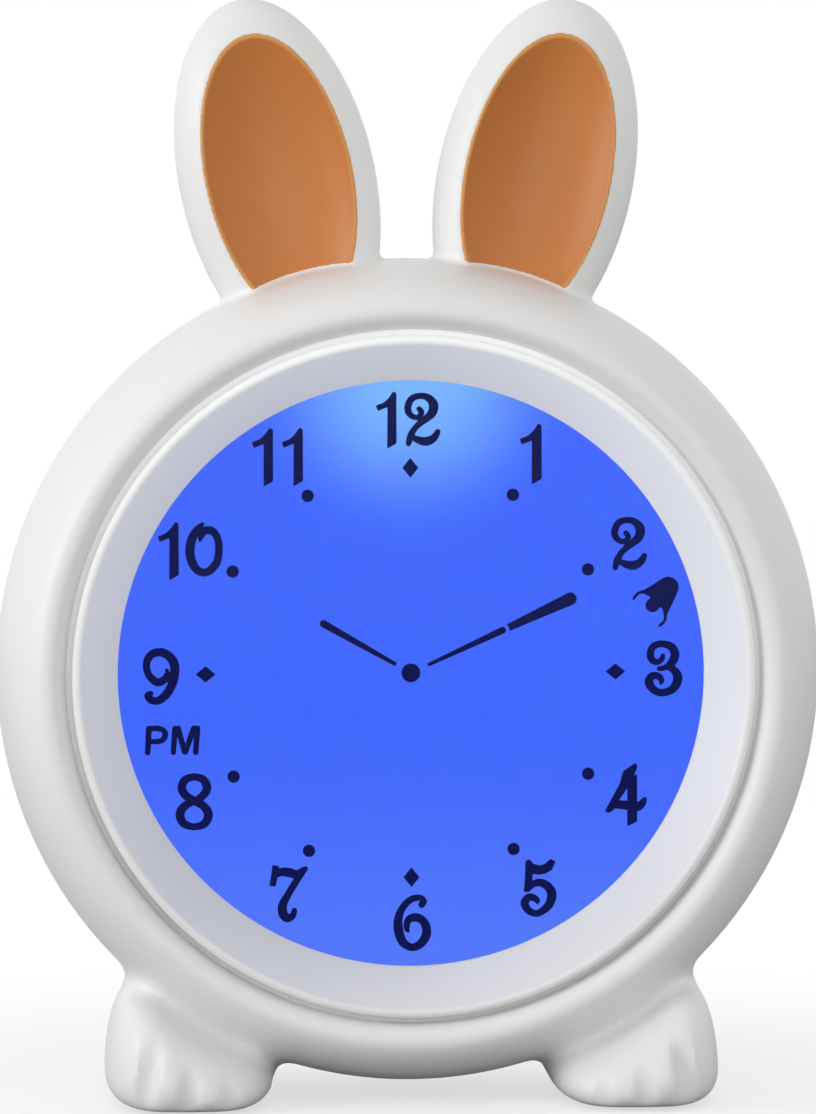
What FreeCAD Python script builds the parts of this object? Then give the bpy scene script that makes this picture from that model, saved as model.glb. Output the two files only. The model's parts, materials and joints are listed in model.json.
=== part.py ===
import FreeCAD
import Part
import Sketcher
import math
import os

# Kids' alarm clock with a lit round dial, two ears and two paws.
# Frame: millimetres, the dial faces -Y, +Z is up, and the four foot pads stand on z = 0.
# The round body turns about one axis parallel to Y; depths along it are given from that axis' origin.

V = FreeCAD.Vector

SIZES = [
    ("body_radius", 75.0, "round body at the parting plane"),
    ("belly_gap", 3.0, "belly of the round body above the floor"),
    ("wall", 2.5, "moulded wall of both shells"),
    ("parting_depth", -3.0, "plane where the two shells meet"),
    ("ring_depth", 24.0, "parting plane to the crest of the front ring"),
    ("ring_width", 11.0, "from the outline of the body to the ring's crest"),
    ("rim_depth", 5.0, "length of the turned-in edge of the ring"),
    ("back_depth", 34.8, "parting plane to the flat back"),
    ("back_edge", 13.5, "from the outline of the body to the flat disc of the back"),
    ("lap_height", 2.0, "lap joint between the shells"),
    ("lap_gap", 0.15, "clearance in the lap joint"),
    ("ear_offset", 23.5, "ear centre from the middle plane"),
    ("ear_lift", 14.4, "ear centre above the round of the body"),
    ("ear_half_width", 17.8, "ear outline, short half axis"),
    ("ear_half_height", 33.2, "ear outline, long half axis"),
    ("ear_half_depth", 11.0, "ear thickness each side of the parting plane"),
    ("ear_tilt", 12.35, "ears lean outwards, degrees"),
    ("inlay_half_width", 12.1, "ear inlay, short half axis"),
    ("inlay_half_height", 26.1, "ear inlay, long half axis"),
    ("inlay_rise", 1.0, "inlay centre above the ear centre"),
    ("inlay_dish", 4.5, "how deep the inlay is dished"),
    ("inlay_thickness", 1.5, "wall of the inlay"),
    ("fit_gap", 0.1, "clearance round glued and seated pieces"),
    ("paw_offset", 40.4, "paw centre from the middle plane"),
    ("paw_half_width", 15.5, "paw half width"),
    ("toe_reach", 6.0, "tips of the toes in front of the ring's crest"),
    ("heel_reach", 23.0, "heel behind the parting plane"),
    ("paw_underside", 0.5, "flat underside above the floor"),
    ("paw_core_height", 3.6, "height of the middle of the toes"),
    ("paw_flare", 8.5, "how far the top of the toes drops away from the round of the body"),
    ("paw_flare_reach", 8.0, "where the top of the paw leaves the round of the body"),
    ("paw_tuck", 1.5, "how far the top of the paw dips under the body"),
    ("heel_round", 14.0, "length of the rounded top of the heel"),
    ("heel_drop", 10.0, "how far the top of the heel rounds down"),
    ("toe_groove_radius", 3.0, "rounding of the grooves between the toes"),
    ("toe_groove_depth", 1.4, "depth of the grooves between the toes"),
    ("toe_groove_fan", 5.0, "outer grooves lean outwards, degrees"),
    ("toe_groove_sweep", 0.9, "outer grooves lie this much further back"),
    ("pad_radius", 4.5, "foot pad"),
    ("pad_thickness", 1.5, "foot pad"),
    ("pad_front_reach", 17.0, "front pads before the parting plane"),
    ("pad_rear_reach", 12.0, "rear pads behind the parting plane"),
    ("groove_gap", 3.6, "groove between ring and funnel"),
    ("funnel_width", 7.3, "sloping funnel round the display"),
    ("funnel_crest_drop", 1.0, "funnel edge behind the ring crest"),
    ("window_margin", 3.9, "window behind the edge of the bezel"),
    ("lip_depth", 11.6, "display lip behind the ring crest"),
    ("lip_thickness", 0.9, "edge of the bezel in front of the window"),
    ("boss_root", 1.0, "solid root of the bezel's screw bosses"),
    ("bezel_flange", 2.0, "flange of the bezel behind the ring"),
    ("bezel_wall", 2.0, "skirt and groove wall of the bezel"),
    ("flange_overlap", 1.6, "flange of the bezel behind the edge of the ring"),
    ("bezel_roll", 1.2, "how far the funnel edge rolls back"),
    ("window_thickness", 1.5, "clear window"),
    ("gasket_thickness", 0.4, "foam ring between window and display"),
    ("gasket_width", 3.0, "foam ring between window and display"),
    ("lcd_thickness", 2.2, "two glasses of the display"),
    ("segment_thickness", 0.2, "display segments"),
    ("diffuser_thickness", 0.3, "diffuser and reflector sheets"),
    ("guide_margin", 1.5, "light guide inside the window's outline"),
    ("guide_thickness", 3.0, "light guide"),
    ("guide_cut", 3.5, "flat edges of the light guide under the lamps"),
    ("carrier_wall", 3.0, "side wall of the display carrier"),
    ("carrier_floor", 1.5, "floor of the display carrier"),
    ("carrier_gap", 0.5, "room between light guide and carrier wall"),
    ("carrier_tab", 2.6, "half width of the carrier's screw tabs"),
    ("lamp_strip", 24.0, "length of the lamp strips"),
    ("lamp_board", 0.8, "thickness of the lamp strips"),
    ("lamp_pitch", 9.0, "distance between two lamps"),
    ("lamp_width", 3.0, "one lamp"),
    ("lamp_height", 1.3, "one lamp"),
    ("lamp_gap", 0.3, "gap between lamps and light guide"),
    ("ribbon_width", 20.0, "flat cable of the display"),
    ("ribbon_thickness", 0.3, "flat cable of the display"),
    ("ribbon_pad", 1.2, "how far the flat cable reaches over the display's back"),
    ("ribbon_tail", 8.0, "how far the flat cable reaches over the main board"),
    ("pcb_thickness", 1.6, "both circuit boards"),
    ("pcb_margin", 3.5, "main circuit board inside the light guide's outline"),
    ("pcb_post", 2.0, "posts between carrier and main board"),
    ("pcb_post_margin", 8.0, "posts inside the main board's edge"),
    ("post_radius", 2.5, "posts and bosses of the small screws"),
    ("screw_radius", 1.15, "shank of the small screws"),
    ("screw_head_radius", 2.1, "head of the small screws"),
    ("screw_head", 1.4, "head height of the small screws"),
    ("screw_bite", 5.0, "how far the small screws reach into a boss"),
    ("board_bite", 0.8, "how far the main board's screws reach into the carrier floor"),
    ("housing_screw_radius", 1.3, "shank of the housing screws"),
    ("housing_screw_length", 12.0, "shank length of the housing screws"),
    ("housing_head_radius", 2.7, "head of the housing screws"),
    ("well_radius", 3.4, "screw wells in the back"),
    ("boss_radius", 3.2, "screw bosses of the front shell"),
    ("well_wall", 1.4, "wall of the screw wells"),
    ("well_floor", 2.5, "floor of the screw wells"),
    ("housing_head", 2.0, "head height of the housing screws"),
    ("button_margin", 17.5, "buttons inside the edge of the flat back"),
    ("button_radius", 4.3, "round button caps"),
    ("button_gap", 0.25, "clearance round the button caps"),
    ("button_proud", 1.2, "caps above the flat back"),
    ("button_flange", 1.0, "flange that keeps a cap in its hole"),
    ("button_play", 0.1, "gap above the cap flange and above the plunger"),
    ("button_travel", 0.5, "travel of every button"),
    ("cap_bevel", 0.5, "bevel of the button caps"),
    ("cap_flange", 1.0, "how far a cap's flange stands out"),
    ("light_button_half", 9.0, "half length of the oval light button"),
    ("control_board_depth", 22.0, "front of the control board"),
    ("control_reach_in", 8.0, "control board inside the ring of buttons"),
    ("control_reach_out", 9.0, "control board outside the ring of buttons"),
    ("control_leg", 12.0, "how far the control board reaches below the dial axis"),
    ("tact_side", 6.0, "body of the push switches"),
    ("tact_height", 3.5, "body of the push switches"),
    ("plunger_sink", 1.2, "how deep the plunger starts inside the push switch"),
    ("plunger_radius", 1.7, "plunger of the push switches"),
    ("slide_rise", 2.0, "slide switch and power jack above the dial axis"),
    ("knob_width", 2.4, "slide switch knob"),
    ("knob_length", 3.4, "slide switch knob"),
    ("knob_travel", 3.0, "slide switch knob"),
    ("knob_proud", 0.9, "slide switch knob above the back"),
    ("knob_sink", 0.9, "how deep the knob's stem sits in the slide switch"),
    ("knob_flange", 0.8, "flange of the knob behind the back wall"),
    ("slide_case_height", 4.0, "body of the slide switch"),
    ("slide_case_width", 5.0, "body of the slide switch"),
    ("slide_gap", 0.2, "clearance of the knob in the slide switch"),
    ("jack_radius", 4.0, "barrel of the power jack"),
    ("jack_bore", 3.15, "socket of the power jack"),
    ("jack_pin", 1.0, "centre pin of the power jack"),
    ("jack_sink", 0.4, "how far the jack's mouth lies inside the back"),
    ("jack_foot_height", 4.5, "foot of the power jack"),
    ("jack_foot_margin", 0.5, "foot of the power jack beyond the barrel at each side"),
    ("jack_bore_floor", 1.0, "floor behind the socket of the power jack"),
    ("post_reach", 5.3, "upper posts of the control board outside the ring of buttons"),
    ("post_turn", 17.7, "upper posts of the control board from the upright, degrees"),
    ("post_drop", 8.5, "lower posts of the control board below the dial axis"),
    ("speaker_rise", 17.0, "speaker above the dial axis"),
    ("speaker_radius", 16.0, "speaker"),
    ("speaker_depth", 9.0, "speaker basket"),
    ("magnet_radius", 9.0, "speaker magnet"),
    ("magnet_thickness", 4.0, "speaker magnet"),
    ("speaker_rim", 1.5, "flat rim of the speaker basket"),
    ("speaker_lip", 2.0, "height of the basket's rim"),
    ("basket_wall", 1.0, "sheet of the speaker basket"),
    ("cone_thickness", 0.5, "speaker cone"),
    ("cone_sink", 3.6, "how deep the cone dips"),
    ("clamp_thickness", 1.2, "ring that clamps the speaker"),
    ("clamp_tab", 2.2, "screw tabs of the speaker clamp"),
    ("grille_hole_radius", 1.1, "holes of the speaker grille"),
    ("grille_pitch", 4.2, "holes of the speaker grille"),
    ("door_side", 2.25, "battery door beyond the tray at each side"),
    ("door_foot", 7.4, "battery door beyond the cells, mostly below them"),
    ("door_top", 2.5, "upper edge of the door below the dial axis"),
    ("door_thickness", 2.2, "battery door"),
    ("door_corner", 6.0, "corner rounding of the battery door"),
    ("door_gap", 0.25, "clearance round the battery door"),
    ("door_hook_width", 5.0, "hooks of the battery door"),
    ("door_hook_offset", 18.0, "hooks of the battery door from the middle plane"),
    ("door_hook_reach", 1.5, "how far the hooks reach under the edge"),
    ("door_hook_height", 3.0, "root of the hooks on the door"),
    ("door_hook_thickness", 1.1, "hooks of the battery door"),
    ("groove_half_width", 10.0, "finger grooves of the battery door"),
    ("groove_depth", 0.6, "finger grooves of the battery door"),
    ("groove_height", 1.0, "finger grooves of the battery door"),
    ("groove_row", 8.0, "height of the row of finger grooves"),
    ("groove_drop", 7.0, "first finger groove below the door's upper edge"),
    ("cell_length", 50.5, "one battery cell"),
    ("cell_diameter", 14.5, "one battery cell"),
    ("cell_gap", 0.7, "room round each cell"),
    ("contact_room", 7.0, "room for springs and contact plates"),
    ("tray_wall", 1.5, "battery tray"),
    ("tray_flange", 2.5, "flange of the battery tray round the door opening"),
    ("rib_height", 2.3, "ribs between the cells"),
    ("rib_thickness", 0.8, "ribs between the cells"),
    ("plate_thickness", 0.5, "contact plates"),
    ("plate_margin", 1.5, "contact plates inside the edge of a cell"),
    ("nub_radius", 2.6, "raised button of the plain contacts"),
    ("nub_height", 0.9, "raised button of the plain contacts"),
    ("tray_inset", 0.5, "inside of the tray below the door's upper edge"),
    ("spring_radius", 4.0, "battery springs"),
    ("hand_hub_radius", 1.7, "display segment, hub"),
    ("hour_dot_radius", 1.12, "display segment, hour dots"),
    ("hour_dot_ring", 37.2, "display segment, hour dots"),
]

# Sizes that follow from the ones above, as formulas of the sheet.
DERIVED = {
    "axis_height": "body_radius + belly_gap",
    "crest_radius": "body_radius - ring_width",
    "back_radius": "body_radius - back_edge",
    "ear_rise": "body_radius + ear_lift",
    "paw_front": "parting_depth - ring_depth - toe_reach",
    "paw_heel": "parting_depth + heel_reach",
    "pad_front": "parting_depth - pad_front_reach",
    "pad_rear": "parting_depth + pad_rear_reach",
    "funnel_outer_radius": "crest_radius - groove_gap",
    "display_radius": "funnel_outer_radius - funnel_width",
    "bezel_flange_radius": "crest_radius + flange_overlap",
    "window_radius": "display_radius + window_margin",
    "guide_radius": "window_radius - guide_margin",
    "guide_flat": "guide_radius - guide_cut",
    "carrier_radius": "guide_radius + carrier_gap + carrier_wall",
    "carrier_screw_ring": "carrier_radius + screw_head_radius + 9 * fit_gap",
    "pcb_radius": "guide_radius - pcb_margin",
    "pcb_post_ring": "pcb_radius - pcb_post_margin",
    "housing_ring": "crest_radius + wall",
    "button_ring": "back_radius - button_margin",
    "slide_offset": "button_ring",
    "post_ring": "button_ring + post_reach",
    "control_inner": "button_ring - control_reach_in",
    "control_outer": "button_ring + control_reach_out",
    "door_width": "cell_length + contact_room + 2 * door_side",
    "door_height": "3 * (cell_diameter + cell_gap) + door_foot",
    "tray_top": "door_top + tray_inset",
}

doc = FreeCAD.newDocument("alarm_clock")
sheet = doc.addObject("Spreadsheet::Sheet", "Sizes")
for row, (alias, number, note) in enumerate(SIZES, start=1):
    sheet.set("A%d" % row, note)
    sheet.set("B%d" % row, str(number))
    sheet.setAlias("B%d" % row, alias)
doc.recompute()


ALIASES = {alias for alias, number, note in SIZES}


def size(formula):
    """The value of a formula in the names above."""
    return float(sheet.evalExpression(bound(formula)))


def bound(formula):
    """The same formula as an expression of this document: derived sizes are written out and
    aliases point at the sheet."""
    out = ""
    word = ""
    for letter in str(formula) + " ":
        if letter.isalnum() or letter == "_":
            word += letter
            continue
        if word in ALIASES:
            word = "Sizes." + word
        elif word in DERIVED:
            word = "(%s)" % bound(DERIVED[word])
        out += word + letter
        word = ""
    return out.strip()


# Depths of the pieces one behind the other, from the ring crest to the back, as formulas of the sheet.
CREST = "parting_depth - ring_depth"
FLANGE_FRONT = CREST + " + rim_depth"
FLANGE_BACK = FLANGE_FRONT + " + bezel_flange"
LIP_FRONT = CREST + " + lip_depth"
WINDOW_FRONT = LIP_FRONT + " + lip_thickness"
GASKET_FRONT = WINDOW_FRONT + " + window_thickness"
LCD_FRONT = GASKET_FRONT + " + gasket_thickness"
DIFFUSER_FRONT = LCD_FRONT + " + lcd_thickness"
GUIDE_FRONT = DIFFUSER_FRONT + " + diffuser_thickness"
REFLECTOR_FRONT = GUIDE_FRONT + " + guide_thickness"
CARRIER_FLOOR_FRONT = REFLECTOR_FRONT + " + diffuser_thickness"
CARRIER_BACK = CARRIER_FLOOR_FRONT + " + carrier_floor"
PCB_FRONT = CARRIER_BACK + " + pcb_post"
PCB_BACK = PCB_FRONT + " + pcb_thickness"
BACK = "parting_depth + back_depth"
BACK_INSIDE = BACK + " - wall"
BOARD_BACK = "control_board_depth + pcb_thickness"
WELL_FLOOR_BACK = "parting_depth + well_floor"
TRAY_HEIGHT = "3 * (cell_diameter + cell_gap)"
TRAY_HALF = "(cell_length + contact_room) / 2"
SCREW_HOLE = "screw_radius + fit_gap"
HOUSING_HOLE = "housing_screw_radius + fit_gap"
CAP_REST = BACK_INSIDE + " - button_play"
LOOSE_HOLE = "screw_radius + 2 * fit_gap"

# A tool that cuts starts and ends this much outside what it cuts.
EARLIER = " - 1"
LATER = " + 1"


def shift(obj, x="0", y="0", z="0"):
    """Places an object by formulas; depths run along Y."""
    obj.setExpression("Placement.Base.x", bound(x))
    obj.setExpression("Placement.Base.y", bound(y))
    obj.setExpression("Placement.Base.z", bound(z))


def disc(name, radius, front, thickness, x="0", z="axis_height"):
    """A cylinder whose axis is parallel to Y, from its front face backwards."""
    obj = doc.addObject("Part::Cylinder", name)
    obj.setExpression("Radius", bound(radius))
    obj.setExpression("Height", bound(thickness))
    obj.Placement = FreeCAD.Placement(V(0, 0, 0), FreeCAD.Rotation(V(1, 0, 0), -90))
    shift(obj, x, front, z)
    return obj


def block(name, width, depth, height, x, y, z):
    """A box given by its size and its lowest corner."""
    obj = doc.addObject("Part::Box", name)
    obj.setExpression("Length", bound(width))
    obj.setExpression("Width", bound(depth))
    obj.setExpression("Height", bound(height))
    shift(obj, x, y, z)
    return obj


def cut(name, base, *tools):
    obj = doc.addObject("Part::Cut", name)
    obj.Base = base
    obj.Tool = tools[0] if len(tools) == 1 else fuse(name + "_tools", *tools)
    return obj


def fuse(name, *parts):
    obj = doc.addObject("Part::MultiFuse", name)
    obj.Shapes = list(parts)
    return obj


def common(name, first, second):
    obj = doc.addObject("Part::Common", name)
    obj.Base = first
    obj.Tool = second
    return obj


def group(name, *parts):
    """Several separate solids in one node."""
    obj = doc.addObject("Part::Compound", name)
    obj.Links = list(parts)
    return obj


def shaped(name, shape):
    """A piece whose shape is worked out from the sheet by Part's own functions."""
    obj = doc.addObject("Part::Feature", name)
    obj.Shape = shape
    return obj


def plane_of(body, role):
    return [item for item in body.Origin.OriginFeatures if item.Role == role][0]


def new_body(name, x="0", y="0", z="0"):
    body = doc.addObject("PartDesign::Body", name)
    shift(body, x, y, z)
    return body


def new_sketch(body, name, role):
    drawing = body.newObject("Sketcher::SketchObject", name)
    drawing.AttachmentSupport = [(plane_of(body, role), "")]
    drawing.MapMode = "FlatFace"
    return drawing


def polygon(drawing, corners):
    """A closed outline whose corners are formulas, each held by two dimensions."""
    start = len(drawing.Geometry)
    count = len(corners)
    points = [V(size(across), size(along), 0) for across, along in corners]
    for index in range(count):
        drawing.addGeometry(Part.LineSegment(points[index], points[(index + 1) % count]))
    for index in range(count):
        here = start + index
        there = start + (index + 1) % count
        drawing.addConstraint(Sketcher.Constraint("Coincident", here, 2, there, 1))
    for index, (across, along) in enumerate(corners):
        for kind, formula, number in (("DistanceX", across, points[index].x),
                                      ("DistanceY", along, points[index].y)):
            which = drawing.addConstraint(
                Sketcher.Constraint(kind, -1, 1, start + index, 1, number))
            drawing.setExpression("Constraints[%d]" % which, bound(formula))


def circle(drawing, across, along, radius):
    """A circle held by the place of its centre and its radius."""
    centre = V(size(across), size(along), 0)
    index = drawing.addGeometry(Part.Circle(centre, V(0, 0, 1), size(radius)))
    for kind, formula, number in (("DistanceX", across, centre.x), ("DistanceY", along, centre.y)):
        which = drawing.addConstraint(Sketcher.Constraint(kind, -1, 1, index, 3, number))
        drawing.setExpression("Constraints[%d]" % which, bound(formula))
    which = drawing.addConstraint(Sketcher.Constraint("Radius", index, size(radius)))
    drawing.setExpression("Constraints[%d]" % which, bound(radius))
    return index


def revolve(body, name, corners):
    """A body of revolution about Y; corners are (radius, depth)."""
    drawing = new_sketch(body, name + "_profile", "XY_Plane")
    polygon(drawing, corners)
    doc.recompute()
    turned = body.newObject("PartDesign::Revolution", name)
    turned.Profile = drawing
    turned.ReferenceAxis = (drawing, ["V_Axis"])
    turned.Angle = 360
    doc.recompute()
    return turned


def feature(body, kind, name, drawing, length, backwards=False):
    """A pad or pocket of a sketch on a plane parallel to the dial. A pad grows to +Y when
    backwards, and a pocket cuts to -Y when backwards."""
    made = body.newObject("PartDesign::" + kind, name)
    made.Profile = drawing
    made.setExpression("Length", bound(length))
    made.Reversed = backwards
    doc.recompute()
    return made


def repeat(body, name, source, count):
    """The same feature again, evenly spaced about the Y axis of the body."""
    pattern = body.newObject("PartDesign::PolarPattern", name)
    pattern.Originals = [source]
    pattern.Axis = (plane_of(body, "Y_Axis"), [""])
    pattern.Angle = 360
    pattern.Occurrences = count
    doc.recompute()
    body.Tip = pattern
    doc.recompute()
    return pattern


QUARTER_TURNS = [0, 90, 180, 270]
TINY = 1e-6
REACH = 400.0
HOUSING_TURNS = [45, 135, 225, 315]


def at(ring, degrees):
    """Place on a ring about the dial axis, as two formulas."""
    across = "%s * %.9f" % (ring, math.cos(math.radians(degrees)))
    up = "axis_height + %s * %.9f" % (ring, math.sin(math.radians(degrees)))
    return across, up


# Moulded forms of the two shells.

def body_form(grow=0.0):
    """The closed round body: two quarter ellipses joined at the parting plane."""
    parting = size("parting_depth")
    outer = size("body_radius") + grow
    front_flat = size("crest_radius")
    back_flat = size("back_radius")
    front_reach = size("ring_depth") + grow
    back_reach = size("back_depth") + grow
    front = quarter_ellipse(front_flat, outer, parting, -front_reach)
    back = quarter_ellipse(back_flat, outer, parting, back_reach)
    start = V(0, parting - front_reach, 0)
    end = V(0, parting + back_reach, 0)
    edges = [Part.LineSegment(start, V(front_flat, start.y, 0)).toShape(),
             front,
             back,
             Part.LineSegment(V(back_flat, end.y, 0), end).toShape(),
             Part.LineSegment(end, start).toShape()]
    return spin(edges)


def quarter_ellipse(flat, outer, base, reach):
    """A quarter ellipse in the profile plane, from the flat's edge out to the parting plane."""
    side = outer - flat
    long_axis = max(side, abs(reach))
    short_axis = min(side, abs(reach))
    centre = V(flat, base, 0)
    main = V(0, reach, 0) if abs(reach) >= side else V(side, 0, 0)
    cross = V(side, 0, 0) if abs(reach) >= side else V(0, reach, 0)
    ellipse = Part.Ellipse(centre + main.normalize() * long_axis,
                           centre + cross.normalize() * short_axis, centre)
    first = ellipse.parameter(V(flat, base + reach, 0))
    last = ellipse.parameter(V(outer, base, 0))
    middle = V(flat + side * math.sqrt(0.5), base + reach * math.sqrt(0.5), 0)
    for low, high in ((first, last), (last, first)):
        if high < low:
            high += 2 * math.pi
        arc = Part.ArcOfEllipse(ellipse, low, high)
        if arc.toShape().distToShape(Part.Vertex(middle))[0] < 0.01:
            return arc.toShape()
    raise ValueError("the quarter ellipse was not found")


def spin(edges):
    """Turns a closed profile about the dial axis and lifts it to its height."""
    wire = Part.Wire(Part.__sortEdges__(edges))
    solid = Part.Face(wire).revolve(V(0, 0, 0), V(0, 1, 0), 360)
    solid = Part.Solid(solid) if solid.ShapeType == "Shell" else solid
    solid.translate(V(0, 0, size("axis_height")))
    return solid


def ear_ellipsoid(side, width, depth, height, y, lift=0.0, grow=0.0):
    """An ellipsoid turned with the ear of one side."""
    ball = Part.makeSphere(1.0, V(0, 0, 0), V(0, 0, 1), -90, 90, 360)
    matrix = FreeCAD.Matrix()
    matrix.scale(width + grow, depth + grow, height + grow)
    ball = ball.transformGeometry(matrix)
    ball.rotate(V(0, 0, 0), V(0, 1, 0), side * size("ear_tilt"))
    ball.translate(V(side * size("ear_offset"), y, size("axis_height + ear_rise") + lift))
    return ball


BOWL_SPREAD = 1.25


def bowl(side, grow):
    """The dished form of an ear inlay; it opens through the front of the ear."""
    spread = BOWL_SPREAD
    depth = size("inlay_dish") / (1 - math.sqrt(1 - 1 / spread ** 2))
    rise = size("inlay_half_width") / size("ear_half_width")
    rim = size("parting_depth") - size("ear_half_depth") * math.sqrt(1 - rise ** 2)
    centre = rim - depth * math.sqrt(1 - 1 / spread ** 2)
    return ear_ellipsoid(side, size("inlay_half_width") * spread, depth,
                         size("inlay_half_height") * spread, centre, size("inlay_rise"), grow)


PLAN_SHARPNESS = 3.2


def rounded_end(share, power=PLAN_SHARPNESS):
    """How much of its width a form keeps at a share of the way to its end."""
    return (1 - abs(share) ** power) ** (1 / power)


def body_outline_radius(depth):
    """Radius of the round body at a depth."""
    parting = size("parting_depth")
    flat = size("crest_radius") if depth < parting else size("back_radius")
    reach = size("ring_depth") if depth < parting else size("back_depth")
    share = min(abs(depth - parting) / reach, 1.0)
    return flat + (size("body_radius") - flat) * math.sqrt(1 - share ** 2)


PAW_LEVELS = [-0.995, -0.96, -0.88, -0.7, -0.45, -0.15, 0.2, 0.5, 0.75, 0.92, 0.995]
PAW_POINTS = 24
PAW_SHARPNESS = 5.0
BLUNT_END = 6.0


def paw_top_radius(depth):
    """Distance of the paw's top from the dial axis: it follows the round of the body and
    drops away from it towards the toes and at the heel."""
    start = size("parting_depth - paw_flare_reach")
    radius = min(size("body_radius"), body_outline_radius(max(depth, start)))
    if depth < start:
        share = min((start - depth) / (start - size("paw_front")), 1.0)
        return radius + size("paw_flare") * (1 - math.sqrt(1 - share ** 2))
    radius -= size("paw_tuck") * min((depth - start) / size("wall"), 1.0)
    heel_start = size("paw_heel - heel_round")
    share = min(max(depth - heel_start, 0.0) / (size("paw_heel") - heel_start), 1.0)
    return radius + size("heel_drop") * (1 - math.sqrt(1 - share ** 2))


def paw_section(depth, keep, keep_below, grow):
    """One cross-section of the right paw: flat below, straight sides, and the round of its
    top. The three limits blend into each other."""
    centre = V(size("paw_offset"), depth, size("paw_core_height"))
    half = (size("paw_half_width") + grow) * keep
    sole = centre.z - size("paw_underside - fit_gap") + grow
    below = sole * (1 + 2 * keep_below) / 3
    top = paw_top_radius(depth) - grow
    offset = centre - V(0, depth, size("axis_height"))
    points = []
    for index in range(PAW_POINTS):
        angle = 2 * math.pi * index / PAW_POINTS
        ray = V(math.cos(angle), 0, math.sin(angle))
        reaches = []
        if abs(ray.x) > TINY:
            reaches.append(half / abs(ray.x))
        if ray.z < -TINY:
            reaches.append(below / -ray.z)
        lean = offset.dot(ray)
        root = lean ** 2 - offset.dot(offset) + top ** 2
        if lean < 0 < root:
            reaches.append(-lean - math.sqrt(root))
        elif ray.z > TINY:
            reaches.append(size("paw_half_width") / ray.z)
        reach = sum(item ** -PAW_SHARPNESS for item in reaches) ** (-1 / PAW_SHARPNESS)
        points.append(centre + ray * reach)
    curve = Part.BSplineCurve()
    curve.interpolate(Points=points, PeriodicFlag=True)
    knots = curve.getKnots()
    stops = [knots[PAW_POINTS * quarter // 4] for quarter in range(5)]
    return Part.Wire([curve.toShape(low, high) for low, high in zip(stops[:-1], stops[1:])])


def paw_form(side, grow=0.0):
    """One paw, lofted through its cross-sections and cut flat underneath."""
    middle = (size("paw_front") + size("paw_heel")) / 2
    half = ((size("paw_heel") - size("paw_front")) / 2 + grow) / PAW_LEVELS[-1]
    wires = [paw_section(middle + half * share, rounded_end(share), rounded_end(share, BLUNT_END),
                         grow)
             for share in PAW_LEVELS]
    solid = Part.makeLoft(wires, True, False)
    room = half_space_below(size("paw_underside") - grow)
    solid = solid.cut(room)
    if side < 0:
        solid = solid.mirror(V(0, 0, 0), V(1, 0, 0))
    return solid


def toe_grooves(side):
    """Three upright grooves that part the four toes; they fan out a little downwards."""
    radius = size("toe_groove_radius")
    depth = size("paw_front") - radius + size("toe_groove_depth")
    core = size("paw_core_height")
    tools = []
    for place in (-1, 0, 1):
        x = size("paw_offset") + place * size("paw_half_width") / 2
        groove = Part.makeCylinder(radius, size("axis_height"), V(0, 0, -size("pad_thickness")))
        groove.rotate(V(0, 0, core), V(0, 1, 0), -place * size("toe_groove_fan"))
        groove.translate(V(x, depth + abs(place) * size("toe_groove_sweep"), 0))
        tools.append(groove)
    joined = Part.makeCompound(tools)
    if side < 0:
        joined = joined.mirror(V(0, 0, 0), V(1, 0, 0))
    return joined


def half_space(front):
    """Everything on one side of the parting plane."""
    parting = size("parting_depth")
    y = parting - REACH if front else parting
    return Part.makeBox(2 * REACH, REACH, 2 * REACH, V(-REACH, y, -REACH))


def half_space_below(height):
    """Everything below a height."""
    return Part.makeBox(2 * REACH, 2 * REACH, REACH, V(-REACH, -REACH, height - REACH))


SIDES = (-1, 1)
SIDE_NAMES = {-1: "left", 1: "right"}
PARTS = []


def piece(obj):
    """Keeps an object as one sub-part of the clock, under its own label."""
    obj.Label = obj.Name
    PARTS.append(obj)
    return obj


def rod(radius, front, back, across, up):
    """A plain cylinder shape parallel to Y between two depths, about the dial axis height."""
    start = V(size(across), size(front), size(up))
    length = size(back) - size(front)
    return Part.makeCylinder(size(radius), length, start, V(0, 1, 0))


def ring_rods(radius, front, back, ring, turns):
    return [rod(radius, front, back, *at(ring, turn)) for turn in turns]


def inner_profile_points():
    """The inside of the moulded wall as a few cones: (radius, depth) from the rim to the back."""
    wall = size("wall")
    parting = size("parting_depth")
    outer = size("body_radius") - wall
    front_flat = size("crest_radius")
    back_flat = size("back_radius")
    front_reach = size("ring_depth") - wall
    back_reach = size("back_depth") - wall
    rim = size("crest_radius + wall")
    rim_share = (rim - front_flat) / (outer - front_flat)
    points = [(rim, parting - front_reach * math.sqrt(1 - rim_share ** 2))]
    for degrees in (60, 30, 0):
        turn = math.radians(degrees)
        points.append((front_flat + (outer - front_flat) * math.cos(turn),
                       parting - front_reach * math.sin(turn)))
    for degrees in (25, 50, 75, 90):
        turn = math.radians(degrees)
        points.append((back_flat + (outer - back_flat) * math.cos(turn),
                       parting + back_reach * math.sin(turn)))
    return points


def body_cavity():
    """Inside of the round body, open at the dial."""
    rim = size("crest_radius + wall")
    corners = [(0, size(CREST + EARLIER)), (size("crest_radius"), size(CREST + EARLIER)),
               (size("crest_radius"), size(FLANGE_FRONT)), (rim, size(FLANGE_FRONT))]
    corners += inner_profile_points()
    corners += [(0, size(BACK_INSIDE))]
    points = [V(radius, depth, 0) for radius, depth in corners]
    points.append(points[0])
    return spin(Part.makePolygon(points).Edges)


def ear_cavity(side):
    wall = size("wall")
    hollow = ear_ellipsoid(side, size("ear_half_width") - wall, size("ear_half_depth") - wall,
                           size("ear_half_height") - wall, size("parting_depth"))
    return hollow.cut(bowl(side, size("inlay_thickness + fit_gap") + 0.7 * wall))


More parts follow.
